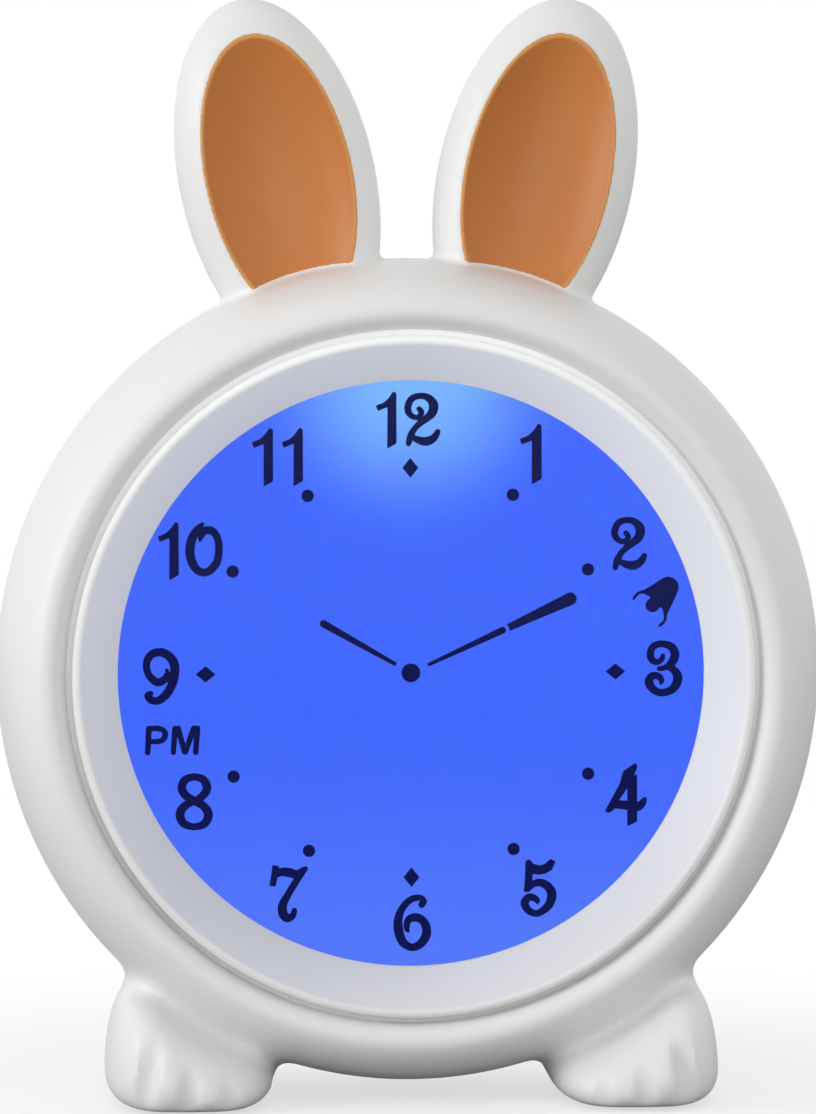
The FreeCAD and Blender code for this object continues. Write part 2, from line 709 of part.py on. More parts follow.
def paw_cavity(side):
    """A plain core inside the paw, open to the body."""
    half = size("paw_half_width - 2.6 * wall")
    front = size("parting_depth - 2.4 * wall")
    back = size("paw_heel - 2.8 * wall")
    floor = size("paw_underside + 1.4 * wall")
    top = size("axis_height - body_radius + 6.4 * wall")
    x = side * size("paw_offset") - half
    return Part.makeBox(2 * half, back - front, top - floor, V(x, front, floor))


outer_form = body_form()
cavities = [body_cavity()]
for side in SIDES:
    ear = ear_ellipsoid(side, size("ear_half_width"), size("ear_half_depth"),
                        size("ear_half_height"), size("parting_depth"))
    ear = ear.cut(bowl(side, size("inlay_thickness + fit_gap")))
    paw = paw_form(side).cut(toe_grooves(side))
    outer_form = outer_form.fuse(ear).fuse(paw)
    cavities += [ear_cavity(side), paw_cavity(side)]
hollow_form = outer_form.cut(cavities)


# Front shell: ring, ear fronts and paw fronts in one moulding, with four screw bosses.

boss_rods = ring_rods("boss_radius", FLANGE_FRONT, "parting_depth", "housing_ring", HOUSING_TURNS)
boss_holes = ring_rods(HOUSING_HOLE, "parting_depth - housing_screw_length" + EARLIER,
                       "parting_depth" + LATER, "housing_ring", HOUSING_TURNS)


def pad_rods(radius, top):
    """Upright cylinders where the four foot pads sit."""
    rods = []
    for side in SIDES:
        for place in ("pad_front", "pad_rear"):
            start = V(side * size("paw_offset"), size(place), 0)
            rods.append(Part.makeCylinder(size(radius), size(top), start))
    return rods


def lap_ring(inner, outer, front, back):
    """A ring of the lap joint between the shells."""
    tube = rod(outer, front, back, "0", "axis_height")
    return tube.cut(rod(inner, front + EARLIER, back + LATER, "0", "axis_height"))


pad_seats = pad_rods("pad_radius + fit_gap", "pad_thickness + fit_gap")
lap_seat = lap_ring("body_radius - 2 * wall", "body_radius - wall / 2",
                    "parting_depth - lap_height - lap_gap", "parting_depth" + LATER)
front_form = hollow_form.common(half_space(True)).fuse(boss_rods)
front_form = front_form.cut(boss_holes + pad_seats + [lap_seat.cut(boss_rods)])
front_shell = piece(shaped("front_shell", front_form))

# Rear shell: the domed back with screw wells, board posts, speaker grille and all openings.

CAP_HOLE = "button_radius + button_gap"
BUTTON_NAMES = {25: "button_time_set", 43: "button_up", 61: "button_down",
                119: "button_alarm_one", 137: "button_alarm_two", 155: "button_volume"}
BOARD_POSTS = [at("post_ring", 90 + side * size("post_turn")) for side in SIDES]
BOARD_POSTS += [("%d * slide_offset" % side, "axis_height - post_drop") for side in SIDES]
SPEAKER_TURNS = [90, 210, 330]
SPEAKER_RING = "speaker_radius + screw_head_radius + 3 * fit_gap"


def speaker_place(degrees, ring=SPEAKER_RING):
    across = "(%s) * %.9f" % (ring, math.cos(math.radians(degrees)))
    up = "axis_height + speaker_rise + (%s) * %.9f" % (ring, math.sin(math.radians(degrees)))
    return across, up


def prism(half_width, low, high, front, back):
    """A plain box shape centred on the middle plane."""
    half = size(half_width)
    start = V(-half, size(front), size(low))
    return Part.makeBox(2 * half, size(back) - size(front), size(high) - size(low), start)


def rounded_prism(half_width, low, high, radius, front, back):
    """A box shape with its four edges parallel to Y rounded."""
    box = prism(half_width, low, high, front, back)
    upright = [edge for edge in box.Edges
               if abs(edge.Vertexes[0].Y - edge.Vertexes[-1].Y) > 0.5 * (size(back) - size(front))]
    return box.makeFillet(size(radius), upright)


def long_hole(half_length, radius, front, back, across, up):
    """A slot shape with round ends, lying along X."""
    x = size(across)
    z = size(up)
    r = size(radius)
    straight = size(half_length) - r
    start = V(x - straight, size(front), z - r)
    middle = Part.makeBox(2 * straight, size(back) - size(front), 2 * r, start)
    ends = [Part.makeCylinder(r, size(back) - size(front), V(x + side * straight, size(front), z),
                              V(0, 1, 0)) for side in SIDES]
    return middle.fuse(ends)


THROUGH = (BACK_INSIDE + EARLIER, BACK + LATER)


def grille_holes():
    """Speaker holes in rings about the middle of the speaker."""
    holes = [rod("grille_hole_radius", *THROUGH, *speaker_place(0, "0"))]
    for ring, count in ((1, 6), (2, 12), (3, 18)):
        for index in range(count):
            place = speaker_place(360.0 * index / count, "grille_pitch * %d" % ring)
            holes.append(rod("grille_hole_radius", *THROUGH, *place))
    return holes


DOOR_HIGH = "axis_height - door_top"
DOOR_LOW = DOOR_HIGH + " - door_height"

wells = [well.common(outer_form) for well in
         ring_rods("well_radius + well_wall", "parting_depth", BACK, "housing_ring", HOUSING_TURNS)]
posts = [rod("post_radius", BOARD_BACK, BACK_INSIDE + " + wall / 5", *place) for place in BOARD_POSTS]
posts += [rod("clamp_tab", BACK_INSIDE + " - basket_wall", BACK_INSIDE + " + wall / 2",
              *speaker_place(turn))
          for turn in SPEAKER_TURNS]
tongue = lap_ring("body_radius - wall", "body_radius - wall / 2 - lap_gap",
                  "parting_depth - lap_height", "parting_depth + wall / 5")
tongue = tongue.cut(cavities[1:])
openings = ring_rods("well_radius", WELL_FLOOR_BACK, BACK + LATER, "housing_ring", HOUSING_TURNS)
openings += ring_rods("housing_screw_radius + 3 * fit_gap", "parting_depth" + EARLIER, BACK,
                      "housing_ring", HOUSING_TURNS)
openings += [rod(CAP_HOLE, *THROUGH, *at("button_ring", turn)) for turn in BUTTON_NAMES]
openings += [long_hole("light_button_half + button_gap", CAP_HOLE, *THROUGH, *at("button_ring", 90))]
openings += [rod("jack_radius + button_gap", *THROUGH, "slide_offset", "axis_height + slide_rise")]
openings += [rod(SCREW_HOLE, BOARD_BACK + EARLIER, BOARD_BACK + " + screw_bite + fit_gap", *place)
             for place in BOARD_POSTS]
openings += [rod(SCREW_HOLE, BACK_INSIDE + " - 2 * basket_wall", BACK_INSIDE + " + wall / 2 + fit_gap",
                 *speaker_place(turn))
             for turn in SPEAKER_TURNS]
openings += grille_holes()
knob_slot = Part.makeBox(size("knob_width + 2 * button_gap"), size("3 * wall"),
                         size("knob_length + knob_travel + 2 * button_gap"))
knob_slot.translate(V(size("-slide_offset - knob_width / 2 - button_gap"), size(BACK_INSIDE + EARLIER),
                      size("axis_height + slide_rise - (knob_length + knob_travel) / 2 - button_gap")))
openings += [knob_slot]
openings += [rounded_prism("door_width / 2 + door_gap", DOOR_LOW + " - door_gap",
                           DOOR_HIGH + " + door_gap", "door_corner + door_gap", *THROUGH)]
rear_form = hollow_form.common(half_space(False)).fuse(wells + posts + [tongue])
rear_form = rear_form.cut(openings + pad_seats)
rear_shell = piece(shaped("rear_shell", rear_form))

# Ear inlays: dished shells that follow the ear's front and end at the ring.

for side in SIDES:
    dish = bowl(side, size("inlay_thickness")).cut(bowl(side, 0.0))
    dish = dish.common(ear_ellipsoid(side, size("ear_half_width"), size("ear_half_depth"),
                                     size("ear_half_height"), size("parting_depth"), 0.0,
                                     -2 * size("fit_gap")))
    dish = dish.cut(body_form(size("fit_gap")))
    dish = max(dish.Solids, key=lambda solid: solid.Volume)
    piece(shaped("ear_inlay_" + SIDE_NAMES[side], dish))

pads = []
for side in SIDES:
    for place in ("pad_front", "pad_rear"):
        pad = doc.addObject("Part::Cylinder", "foot_%s_%s" % (place, SIDE_NAMES[side]))
        pad.setExpression("Radius", bound("pad_radius"))
        pad.setExpression("Height", bound("pad_thickness"))
        shift(pad, "%d * paw_offset" % side, place, "0")
        pads.append(pad)
piece(group("foot_pads", *pads))

# Dial bezel: the sloping funnel, the flange behind the ring and the skirt round window and display.

bezel = new_body("dial_bezel", z="axis_height")
SKIRT_INSIDE = "window_radius + fit_gap"
SKIRT_OUTSIDE = "window_radius + fit_gap + bezel_wall"
SKIRT_END = DIFFUSER_FRONT + " - 2 * fit_gap"
revolve(bezel, "funnel", [
    ("display_radius", LIP_FRONT),
    ("funnel_outer_radius", CREST + " + funnel_crest_drop"),
    ("funnel_outer_radius + bezel_wall / 2", CREST + " + funnel_crest_drop + bezel_roll"),
    ("funnel_outer_radius + bezel_wall / 2", FLANGE_FRONT),
    ("bezel_flange_radius", FLANGE_FRONT),
    ("bezel_flange_radius", FLANGE_BACK),
    (SKIRT_OUTSIDE, FLANGE_BACK),
    (SKIRT_OUTSIDE, SKIRT_END),
    (SKIRT_INSIDE, SKIRT_END),
    (SKIRT_INSIDE, WINDOW_FRONT),
    ("display_radius", WINDOW_FRONT)])


def sketch_at(body, name, depth):
    """A sketch on a plane parallel to the dial at a depth; its axes are X and Z."""
    drawing = new_sketch(body, name, "XZ_Plane")
    drawing.setExpression("AttachmentOffset.Base.z", bound("-(%s)" % depth))
    return drawing


def ring_feature(body, kind, name, ring, degrees, radius, front, back, count=4):
    """Round bosses or holes, evenly spaced on a ring, between two depths."""
    drawing = sketch_at(body, name + "_circle", front)
    across = "%s * %.9f" % (ring, math.cos(math.radians(degrees)))
    up = "%s * %.9f" % (ring, math.sin(math.radians(degrees)))
    circle(drawing, across, up, radius)
    doc.recompute()
    made = feature(body, kind, name, drawing, "(%s) - (%s)" % (back, front),
                   backwards=(kind == "Pad"))
    if count > 1:
        repeat(body, name + "_ring", made, count)
    return made


ring_feature(bezel, "Pocket", "boss_clearance", "housing_ring", 45, "boss_radius + 3 * fit_gap",
             FLANGE_FRONT + EARLIER, FLANGE_BACK + LATER)
ring_feature(bezel, "Pad", "carrier_boss", "carrier_screw_ring", 0, "post_radius",
             FLANGE_BACK, CARRIER_FLOOR_FRONT)
ring_feature(bezel, "Pocket", "carrier_boss_hole", "carrier_screw_ring", 0, SCREW_HOLE,
             FLANGE_BACK + " + boss_root", CARRIER_FLOOR_FRONT + LATER)
piece(bezel)

# Window, display and the sheets behind it.

piece(disc("display_window", "window_radius", WINDOW_FRONT, "window_thickness"))
piece(cut("window_gasket",
          disc("gasket_outer", "window_radius", GASKET_FRONT, "gasket_thickness"),
          disc("gasket_inner", "window_radius - gasket_width", GASKET_FRONT + EARLIER,
               "gasket_thickness" + LATER + LATER)))
piece(disc("lcd_panel", "window_radius", LCD_FRONT, "lcd_thickness"))
SEGMENT_FRONT = LCD_FRONT + " - segment_thickness"


def sheet_disc(name, front, thickness):
    """A round sheet or plate with three flat edges, for the lamps and the ribbon."""
    round_part = disc(name + "_round", "guide_radius", front, thickness)
    room = block(name + "_room", "2 * guide_radius", thickness, "2 * guide_flat",
                 "-guide_radius + ribbon_pad + 3 * ribbon_thickness", front, "axis_height - guide_flat")
    return piece(common(name, round_part, room))


sheet_disc("diffuser_sheet", DIFFUSER_FRONT, "diffuser_thickness")
sheet_disc("light_guide", GUIDE_FRONT, "guide_thickness")
sheet_disc("reflector_sheet", REFLECTOR_FRONT, "diffuser_thickness")

LAMP_STRIP_INNER = "guide_flat + lamp_gap + lamp_height"
strips = []
for side in SIDES:
    tag = "top" if side > 0 else "bottom"
    strip_low = LAMP_STRIP_INNER if side > 0 else "-(%s) - lamp_board" % LAMP_STRIP_INNER
    lamp_low = "guide_flat + lamp_gap" if side > 0 else "-guide_flat - lamp_gap - lamp_height"
    solids = [block("lamp_board_" + tag, "lamp_strip", "guide_thickness", "lamp_board",
                    "-lamp_strip / 2", GUIDE_FRONT, "axis_height + " + strip_low)]
    for number in (-1, 0, 1):
        solids.append(block("lamp_%s_%d" % (tag, number + 2), "lamp_width",
                            "guide_thickness - 4 * fit_gap", "lamp_height",
                            "%d * lamp_pitch - lamp_width / 2" % number,
                            GUIDE_FRONT + " + 2 * fit_gap", "axis_height + " + lamp_low))
    strips.append(fuse("lamp_strip_" + tag, *solids))
piece(group("backlight_lamps", *strips))

# Display segments: hub, two hands, hour dots and quarter diamonds.

DIAMOND_LONG = 1.8
DIAMOND_WIDE = 1.45
HOUR_HAND = 150.3
MINUTE_HAND = 24.6
# Each segment of a hand: its turn, where it starts and ends, and its half width there.
HANDS = [(HOUR_HAND, 3.1, 18.2, 0.35, 0.67),
         (MINUTE_HAND, 3.4, 18.5, 0.3, 0.62),
         (MINUTE_HAND, 19.6, 32.1, 0.62, 1.16)]
segments = [disc("hub", "hand_hub_radius", SEGMENT_FRONT, "segment_thickness")]
for hour in (1, 2, 4, 5, 7, 8, 10, 11):
    segments.append(disc("dot_%d" % hour, "hour_dot_radius", SEGMENT_FRONT, "segment_thickness",
                         *at("hour_dot_ring", 90 - 30 * hour)))
segment_body = new_body("dial_marks", z="axis_height")
marks = sketch_at(segment_body, "marks_outline", SEGMENT_FRONT)
for index in range(4):
    turn = math.radians(90 * index)
    corners = []
    for out, aside in ((-DIAMOND_LONG, 0), (0, -DIAMOND_WIDE), (DIAMOND_LONG, 0), (0, DIAMOND_WIDE)):
        corners.append(("(hour_dot_ring + %g) * %.9f - %g * %.9f"
                        % (out, math.cos(turn), aside, math.sin(turn)),
                        "(hour_dot_ring + %g) * %.9f + %g * %.9f"
                        % (out, math.sin(turn), aside, math.cos(turn))))
    polygon(marks, corners)
for degrees, start, end, thin, thick in HANDS:
    turn = math.radians(degrees)
    corners = []
    for out, aside in ((start, -thin), (end, -thick), (end + thick, 0), (end, thick), (start, thin)):
        corners.append(("%.6f" % (out * math.cos(turn) - aside * math.sin(turn)),
                        "%.6f" % (out * math.sin(turn) + aside * math.cos(turn))))
    polygon(marks, corners)
doc.recompute()
feature(segment_body, "Pad", "marks", marks, "segment_thickness", backwards=True)
piece(group("lcd_segments", segment_body, *segments))

# Display carrier: a tray behind the light guide, screwed to the bezel.

carrier = new_body("lcd_carrier", z="axis_height")
revolve(carrier, "carrier_tray", [
    ("0", CARRIER_FLOOR_FRONT),
    ("guide_radius + carrier_gap", CARRIER_FLOOR_FRONT),
    ("guide_radius + carrier_gap", DIFFUSER_FRONT),
    ("carrier_radius", DIFFUSER_FRONT),
    ("carrier_radius", CARRIER_BACK),
    ("0", CARRIER_BACK)])
tab_outline = sketch_at(carrier, "tab_outline", CARRIER_FLOOR_FRONT)
polygon(tab_outline, [("guide_radius + 2 * carrier_gap", "-carrier_tab"),
                      ("carrier_screw_ring + carrier_tab", "-carrier_tab"),
                      ("carrier_screw_ring + carrier_tab", "carrier_tab"),
                      ("guide_radius + 2 * carrier_gap", "carrier_tab")])
doc.recompute()
tab = feature(carrier, "Pad", "tab", tab_outline, "carrier_floor", backwards=True)
repeat(carrier, "tab_ring", tab, 4)
ring_feature(carrier, "Pad", "board_post", "pcb_post_ring", 45, "post_radius", CARRIER_BACK, PCB_FRONT)
ring_feature(carrier, "Pocket", "board_post_hole", "pcb_post_ring", 45, SCREW_HOLE,
             CARRIER_BACK + " - board_bite - 2 * fit_gap", PCB_FRONT + LATER)
ring_feature(carrier, "Pocket", "tab_hole", "carrier_screw_ring", 0, LOOSE_HOLE,
             CARRIER_FLOOR_FRONT + EARLIER, CARRIER_BACK + LATER)
RIBBON_X = "-guide_radius + 2 * ribbon_thickness"
RIBBON_HALF = "(ribbon_width / 2 + 2 * ribbon_thickness)"
slot_outline = sketch_at(carrier, "slot_outline", CARRIER_FLOOR_FRONT + EARLIER)
polygon(slot_outline, [(RIBBON_X + " - ribbon_thickness", "-" + RIBBON_HALF),
                       (RIBBON_X + " + 2 * ribbon_thickness", "-" + RIBBON_HALF),
                       (RIBBON_X + " + 2 * ribbon_thickness", RIBBON_HALF),
                       (RIBBON_X + " - ribbon_thickness", RIBBON_HALF)])
doc.recompute()
feature(carrier, "Pocket", "ribbon_slot", slot_outline, "carrier_floor" + LATER + LATER)
piece(carrier)

ribbon = new_body("display_ribbon", z="axis_height")
ribbon_profile = new_sketch(ribbon, "ribbon_profile", "XY_Plane")
RIBBON_INNER = RIBBON_X + " + ribbon_thickness"
polygon(ribbon_profile, [
    (RIBBON_X, DIFFUSER_FRONT),
    (RIBBON_X + " + ribbon_pad", DIFFUSER_FRONT),
    (RIBBON_X + " + ribbon_pad", DIFFUSER_FRONT + " + ribbon_thickness"),
    (RIBBON_INNER, DIFFUSER_FRONT + " + ribbon_thickness"),
    (RIBBON_INNER, PCB_FRONT + " - ribbon_thickness"),
    (RIBBON_X + " + ribbon_tail", PCB_FRONT + " - ribbon_thickness"),
    (RIBBON_X + " + ribbon_tail", PCB_FRONT),
    (RIBBON_X, PCB_FRONT)])
doc.recompute()
ribbon_strip = ribbon.newObject("PartDesign::Pad", "ribbon_strip")
ribbon_strip.Profile = ribbon_profile
ribbon_strip.setExpression("Length", bound("ribbon_width"))
ribbon_strip.Midplane = True
doc.recompute()
piece(ribbon)

# Main circuit board and what is soldered to its back.

board = new_body("main_board", z="axis_height")
board_outline = sketch_at(board, "board_outline", PCB_FRONT)
circle(board_outline, "0", "0", "pcb_radius")
doc.recompute()
feature(board, "Pad", "board_plate", board_outline, "pcb_thickness", backwards=True)
ring_feature(board, "Pocket", "board_hole", "pcb_post_ring", 45, LOOSE_HOLE,
             PCB_FRONT + EARLIER, PCB_BACK + LATER)
piece(board)

# Round parts on the main board: radius, height, and the middle across and above the dial axis.
ROUND_BOARD_PARTS = [("clock_chip", 6.0, 1.6, -12.0, 8.0),
                     ("filter_capacitor_one", 2.5, 6.0, 22.0, -16.0),
                     ("filter_capacitor_two", 3.15, 7.0, 30.0, -14.0)]
# Square ones: size across, in depth and in height, and the lowest corner.
SQUARE_BOARD_PARTS = [("driver_chip", 10.0, 1.4, 10.0, 8.0, 2.0),
                      ("crystal", 7.0, 2.2, 2.4, -9.0, -10.0),
                      ("lead_socket", 10.0, 5.0, 4.0, -30.0, -18.0),
                      ("ribbon_socket", 5.0, 2.0, 24.0, -46.0, -12.0)]
soldered = [disc(name, radius, PCB_BACK, height, across, "axis_height + %g" % up)
            for name, radius, height, across, up in ROUND_BOARD_PARTS]
soldered += [block(name, width, depth, height, across, PCB_BACK, "axis_height + %g" % up)
             for name, width, depth, height, across, up in SQUARE_BOARD_PARTS]
piece(group("main_board_parts", *soldered))


def screws(name, places, shank, head_radius, head, length, seat, towards_front=True):
    """Plain screws parallel to Y: the head sits behind the seat, the shank runs forward."""
    solids = []
    for number, (across, up) in enumerate(places):
        if towards_front:
            shank_front = "(%s) - (%s)" % (seat, length)
            head_front = seat
        else:
            shank_front = seat
            head_front = "(%s) - (%s)" % (seat, head)
        solids.append(fuse("%s_%d" % (name, number),
                           disc("%s_shank_%d" % (name, number), shank, shank_front, length,
                                across, up),
                           disc("%s_head_%d" % (name, number), head_radius, head_front, head,
                                across, up)))
    return piece(group(name, *solids))


screws("main_board_screws", [at("pcb_post_ring", turn) for turn in HOUSING_TURNS], "screw_radius",
       "screw_head_radius", "screw_head", "pcb_thickness + pcb_post + board_bite", PCB_BACK)
screws("carrier_screws", [at("carrier_screw_ring", turn) for turn in QUARTER_TURNS], "screw_radius",
       "screw_head_radius", "screw_head", "carrier_floor + screw_bite", CARRIER_BACK)
screws("housing_screws", [at("housing_ring", turn) for turn in HOUSING_TURNS],
       "housing_screw_radius", "housing_head_radius", "housing_head", "well_floor + housing_screw_length",
       WELL_FLOOR_BACK)

# Control board behind the buttons, with its push switches, slide switch and power jack.

control_ring = cut("control_ring",
                   disc("control_ring_outer", "control_outer", "control_board_depth",
                        "pcb_thickness"),
                   disc("control_ring_inner", "control_inner", "control_board_depth" + EARLIER,
                        "pcb_thickness" + LATER + LATER))
control_room = block("control_room", "2 * control_outer", "pcb_thickness",
                     "control_outer + control_leg", "-control_outer", "control_board_depth",
                     "axis_height - control_leg")
control_plate = common("control_plate", control_ring, control_room)
control_holes = [disc("control_hole_%d" % number, LOOSE_HOLE,
                      "control_board_depth" + EARLIER, "pcb_thickness" + LATER + LATER, across, up)
                 for number, (across, up) in enumerate(BOARD_POSTS)]
piece(cut("control_board", control_plate, *control_holes))
screws("control_board_screws", BOARD_POSTS, "screw_radius", "screw_head_radius", "screw_head",
       "pcb_thickness + screw_bite", "control_board_depth", towards_front=False)

PLUNGER_FRONT = BOARD_BACK + " + tact_height - plunger_sink"
CAP_FLANGE_FRONT = CAP_REST + " - button_flange"
button_turns = dict(BUTTON_NAMES)
button_turns[90] = "light_button"
switch_bodies = []
for turn, name in sorted(button_turns.items()):
    across, up = at("button_ring", turn)
    housing = block("switch_block_%d" % turn, "tact_side", "tact_height", "tact_side",
                    across + " - tact_side / 2", BOARD_BACK, up + " - tact_side / 2")
    bore = disc("switch_bore_%d" % turn, "plunger_radius + fit_gap",
                PLUNGER_FRONT + " - button_travel - fit_gap", "tact_height", across, up)
    switch_bodies.append(cut("switch_%d" % turn, housing, bore))
piece(group("push_switches", *switch_bodies))


def round_cap(name, turn):
    """A round cap with a bevelled top and a flange that stays inside the shell."""
    x, z = at("button_ring", turn)
    cap = new_body(name, x, "0", z)
    top = BACK + " + button_proud"
    revolve(cap, name + "_turned", [
        ("0", CAP_FLANGE_FRONT), ("button_radius + cap_flange", CAP_FLANGE_FRONT),
        ("button_radius + cap_flange", CAP_REST), ("button_radius", CAP_REST),
        ("button_radius", top + " - cap_bevel"), ("button_radius - cap_bevel", top), ("0", top)])
    return cap


for turn, name in sorted(button_turns.items()):
    place = at("button_ring", turn)
    if turn == 90:
        cap_form = long_hole("light_button_half", "button_radius", CAP_FLANGE_FRONT,
                             BACK + " + button_proud", *place)
        rim = [edge for edge in cap_form.removeSplitter().Edges
               if abs(edge.CenterOfMass.y - size(BACK + " + button_proud")) < TINY]
        cap_form = cap_form.removeSplitter().makeChamfer(size("cap_bevel"), rim)
        flange = long_hole("light_button_half + cap_flange", "button_radius + cap_flange",
                           CAP_FLANGE_FRONT, CAP_REST, *place)
        piece(shaped(name, cap_form.fuse(flange).removeSplitter()))
    else:
        piece(round_cap(name, turn))
    piece(disc("plunger_" + name.replace("button_", "").replace("_button", ""), "plunger_radius",
               PLUNGER_FRONT, CAP_FLANGE_FRONT + " - button_play - (" + PLUNGER_FRONT + ")", *place))

KNOB_LOW = "axis_height + slide_rise - (knob_length + knob_travel) / 2"
SLIDE_BACK = BOARD_BACK + " + slide_case_height"
SLIDE_MARGIN = "plunger_radius"
slide_case = block("slide_case", "slide_case_width", "slide_case_height",
                   "knob_length + knob_travel + 2 * " + SLIDE_MARGIN,
                   "-slide_offset - slide_case_width / 2", BOARD_BACK, KNOB_LOW + " - " + SLIDE_MARGIN)
piece(cut("slide_switch", slide_case,
          block("slide_case_slot", "knob_width + 2 * slide_gap", "2 * knob_sink",
                "knob_length + knob_travel + 2 * slide_gap",
                "-slide_offset - knob_width / 2 - slide_gap",
                SLIDE_BACK + " - knob_sink - slide_gap", KNOB_LOW + " - slide_gap")))
piece(fuse("slide_knob",
           block("knob_stem", "knob_width",
                 BACK + " + knob_proud - (" + SLIDE_BACK + ") + knob_sink",
                 "knob_length", "-slide_offset - knob_width / 2", SLIDE_BACK + " - knob_sink",
                 KNOB_LOW),
           block("knob_flange_plate", "2 * knob_width", "knob_flange", "knob_length",
                 "-slide_offset - knob_width", SLIDE_BACK + " + slide_gap", KNOB_LOW)))

JACK_UP = "axis_height + slide_rise"
JACK_BACK = BACK + " - jack_sink"
jack_case = fuse("jack_case",
                 disc("jack_barrel", "jack_radius", BOARD_BACK,
                      JACK_BACK + " - (" + BOARD_BACK + ")", "slide_offset", JACK_UP),
                 block("jack_foot", "2 * (jack_radius + jack_foot_margin)", "jack_foot_height",
                       "2 * (jack_radius + 3 * jack_foot_margin)",
                       "slide_offset - jack_radius - jack_foot_margin", BOARD_BACK,
                       JACK_UP + " - jack_radius - 3 * jack_foot_margin"))
jack_bored = cut("jack_bored", jack_case,
                 disc("jack_bore_tool", "jack_bore", BOARD_BACK + " + jack_bore_floor",
                      JACK_BACK + " - (" + BOARD_BACK + ")", "slide_offset", JACK_UP))
piece(fuse("power_jack", jack_bored,
           disc("jack_pin_rod", "jack_pin", BOARD_BACK + " + jack_bore_floor / 2",
                JACK_BACK + " - jack_bore_floor - (" + BOARD_BACK + ")", "slide_offset", JACK_UP)))

# Speaker behind the grille: basket, magnet, cone and the ring that clamps it.

SPEAKER_UP = "axis_height + speaker_rise"
BASKET_FRONT = BACK_INSIDE + " - speaker_depth"
BASKET_LIP = BACK_INSIDE + " - speaker_lip"
CONE_RADIUS = "speaker_radius - 1.4 * speaker_rim"
basket = new_body("speaker_basket", z=SPEAKER_UP)
revolve(basket, "basket_turned", [
    ("magnet_radius / 2", BASKET_FRONT),
    ("magnet_radius + basket_wall", BASKET_FRONT),
    ("speaker_radius - speaker_rim", BASKET_LIP),
    ("speaker_radius", BASKET_LIP),
    ("speaker_radius", BACK_INSIDE),
    (CONE_RADIUS, BACK_INSIDE),
    ("speaker_radius - speaker_rim - basket_wall", BASKET_LIP),
    ("magnet_radius", BASKET_FRONT + " + basket_wall"),
    ("magnet_radius / 2", BASKET_FRONT + " + basket_wall")])
piece(basket)
piece(disc("speaker_magnet", "magnet_radius", BASKET_FRONT + " - magnet_thickness",
           "magnet_thickness", "0", SPEAKER_UP))
cone = new_body("speaker_cone", z=SPEAKER_UP)
CONE_BACK = BACK_INSIDE + " - 2 * cone_thickness"
CONE_RIM = CONE_RADIUS + " - basket_wall / 2"
revolve(cone, "cone_turned", [
    ("0", CONE_BACK + " - cone_sink"),
    ("magnet_radius / 2", CONE_BACK + " - cone_sink - cone_thickness"),
    (CONE_RIM, CONE_BACK + " - cone_thickness"),
    (CONE_RIM, CONE_BACK),
    ("magnet_radius / 2", CONE_BACK + " - cone_sink"),
    ("0", CONE_BACK + " - cone_sink + cone_thickness")])
piece(cone)
CLAMP_FRONT = BASKET_LIP + " - clamp_thickness"
clamp_parts = [disc("clamp_plate", "speaker_radius + 4 * fit_gap", CLAMP_FRONT, "clamp_thickness",
                    "0", SPEAKER_UP)]
clamp_holes = [disc("clamp_middle", "speaker_radius - speaker_rim + fit_gap",
                    CLAMP_FRONT + EARLIER, "clamp_thickness" + LATER + LATER, "0", SPEAKER_UP),
               disc("clamp_seat", "speaker_radius + fit_gap", BASKET_LIP, "speaker_lip" + LATER,
                    "0", SPEAKER_UP)]
for number, turn in enumerate(SPEAKER_TURNS):
    place = speaker_place(turn)
    clamp_parts.append(disc("clamp_tab_%d" % number, "clamp_tab", CLAMP_FRONT,
                            "clamp_thickness + speaker_lip - basket_wall", *place))
    clamp_holes.append(disc("clamp_hole_%d" % number, LOOSE_HOLE, CLAMP_FRONT + EARLIER,
                            "clamp_thickness + speaker_lip" + LATER + LATER, *place))
piece(cut("speaker_clamp", fuse("clamp_joined", *clamp_parts), *clamp_holes))
screws("speaker_screws", [speaker_place(turn) for turn in SPEAKER_TURNS], "screw_radius",
       "screw_head_radius", "screw_head", "clamp_thickness + speaker_lip + wall / 2", CLAMP_FRONT,
       towards_front=False)

# Battery tray for three cells side by side, its springs and contact plates.

TRAY_LOW = "axis_height - tray_top - 3 * (cell_diameter + cell_gap)"
TRAY_FRONT = BACK_INSIDE + " - cell_diameter - cell_gap - tray_wall"
TRAY_FLOOR = TRAY_FRONT + " + tray_wall"
TRAY_MARGIN = "door_gap + tray_flange"
HOOK_PLACES = ("-door_hook_offset", "door_hook_offset")
flange_plate = block("tray_flange_plate", "door_width + 2 * (" + TRAY_MARGIN + ")", "tray_wall",
                     "door_height + 2 * (" + TRAY_MARGIN + ")",
                     "-door_width / 2 - (" + TRAY_MARGIN + ")", BACK_INSIDE + " - tray_wall",
                     DOOR_LOW + " - (" + TRAY_MARGIN + ")")
flange_round = doc.addObject("Part::Cone", "tray_flange_round")
flange_round.setExpression("Radius1", bound("back_radius + 1.9 * tray_wall"))
flange_round.setExpression("Radius2", bound("back_radius - 2 * fit_gap"))
flange_round.setExpression("Height", bound("tray_wall"))
flange_round.Placement = FreeCAD.Placement(V(0, 0, 0), FreeCAD.Rotation(V(1, 0, 0), -90))
shift(flange_round, "0", BACK_INSIDE + " - tray_wall", "axis_height")
tray_solids = [
    block("tray_box", "2 * (" + TRAY_HALF + " + tray_wall)",
          "cell_diameter + cell_gap + tray_wall", TRAY_HEIGHT + " + 2 * tray_wall",
          "-(" + TRAY_HALF + ") - tray_wall", TRAY_FRONT, TRAY_LOW + " - tray_wall"),
    common("tray_flange", flange_plate, flange_round)]
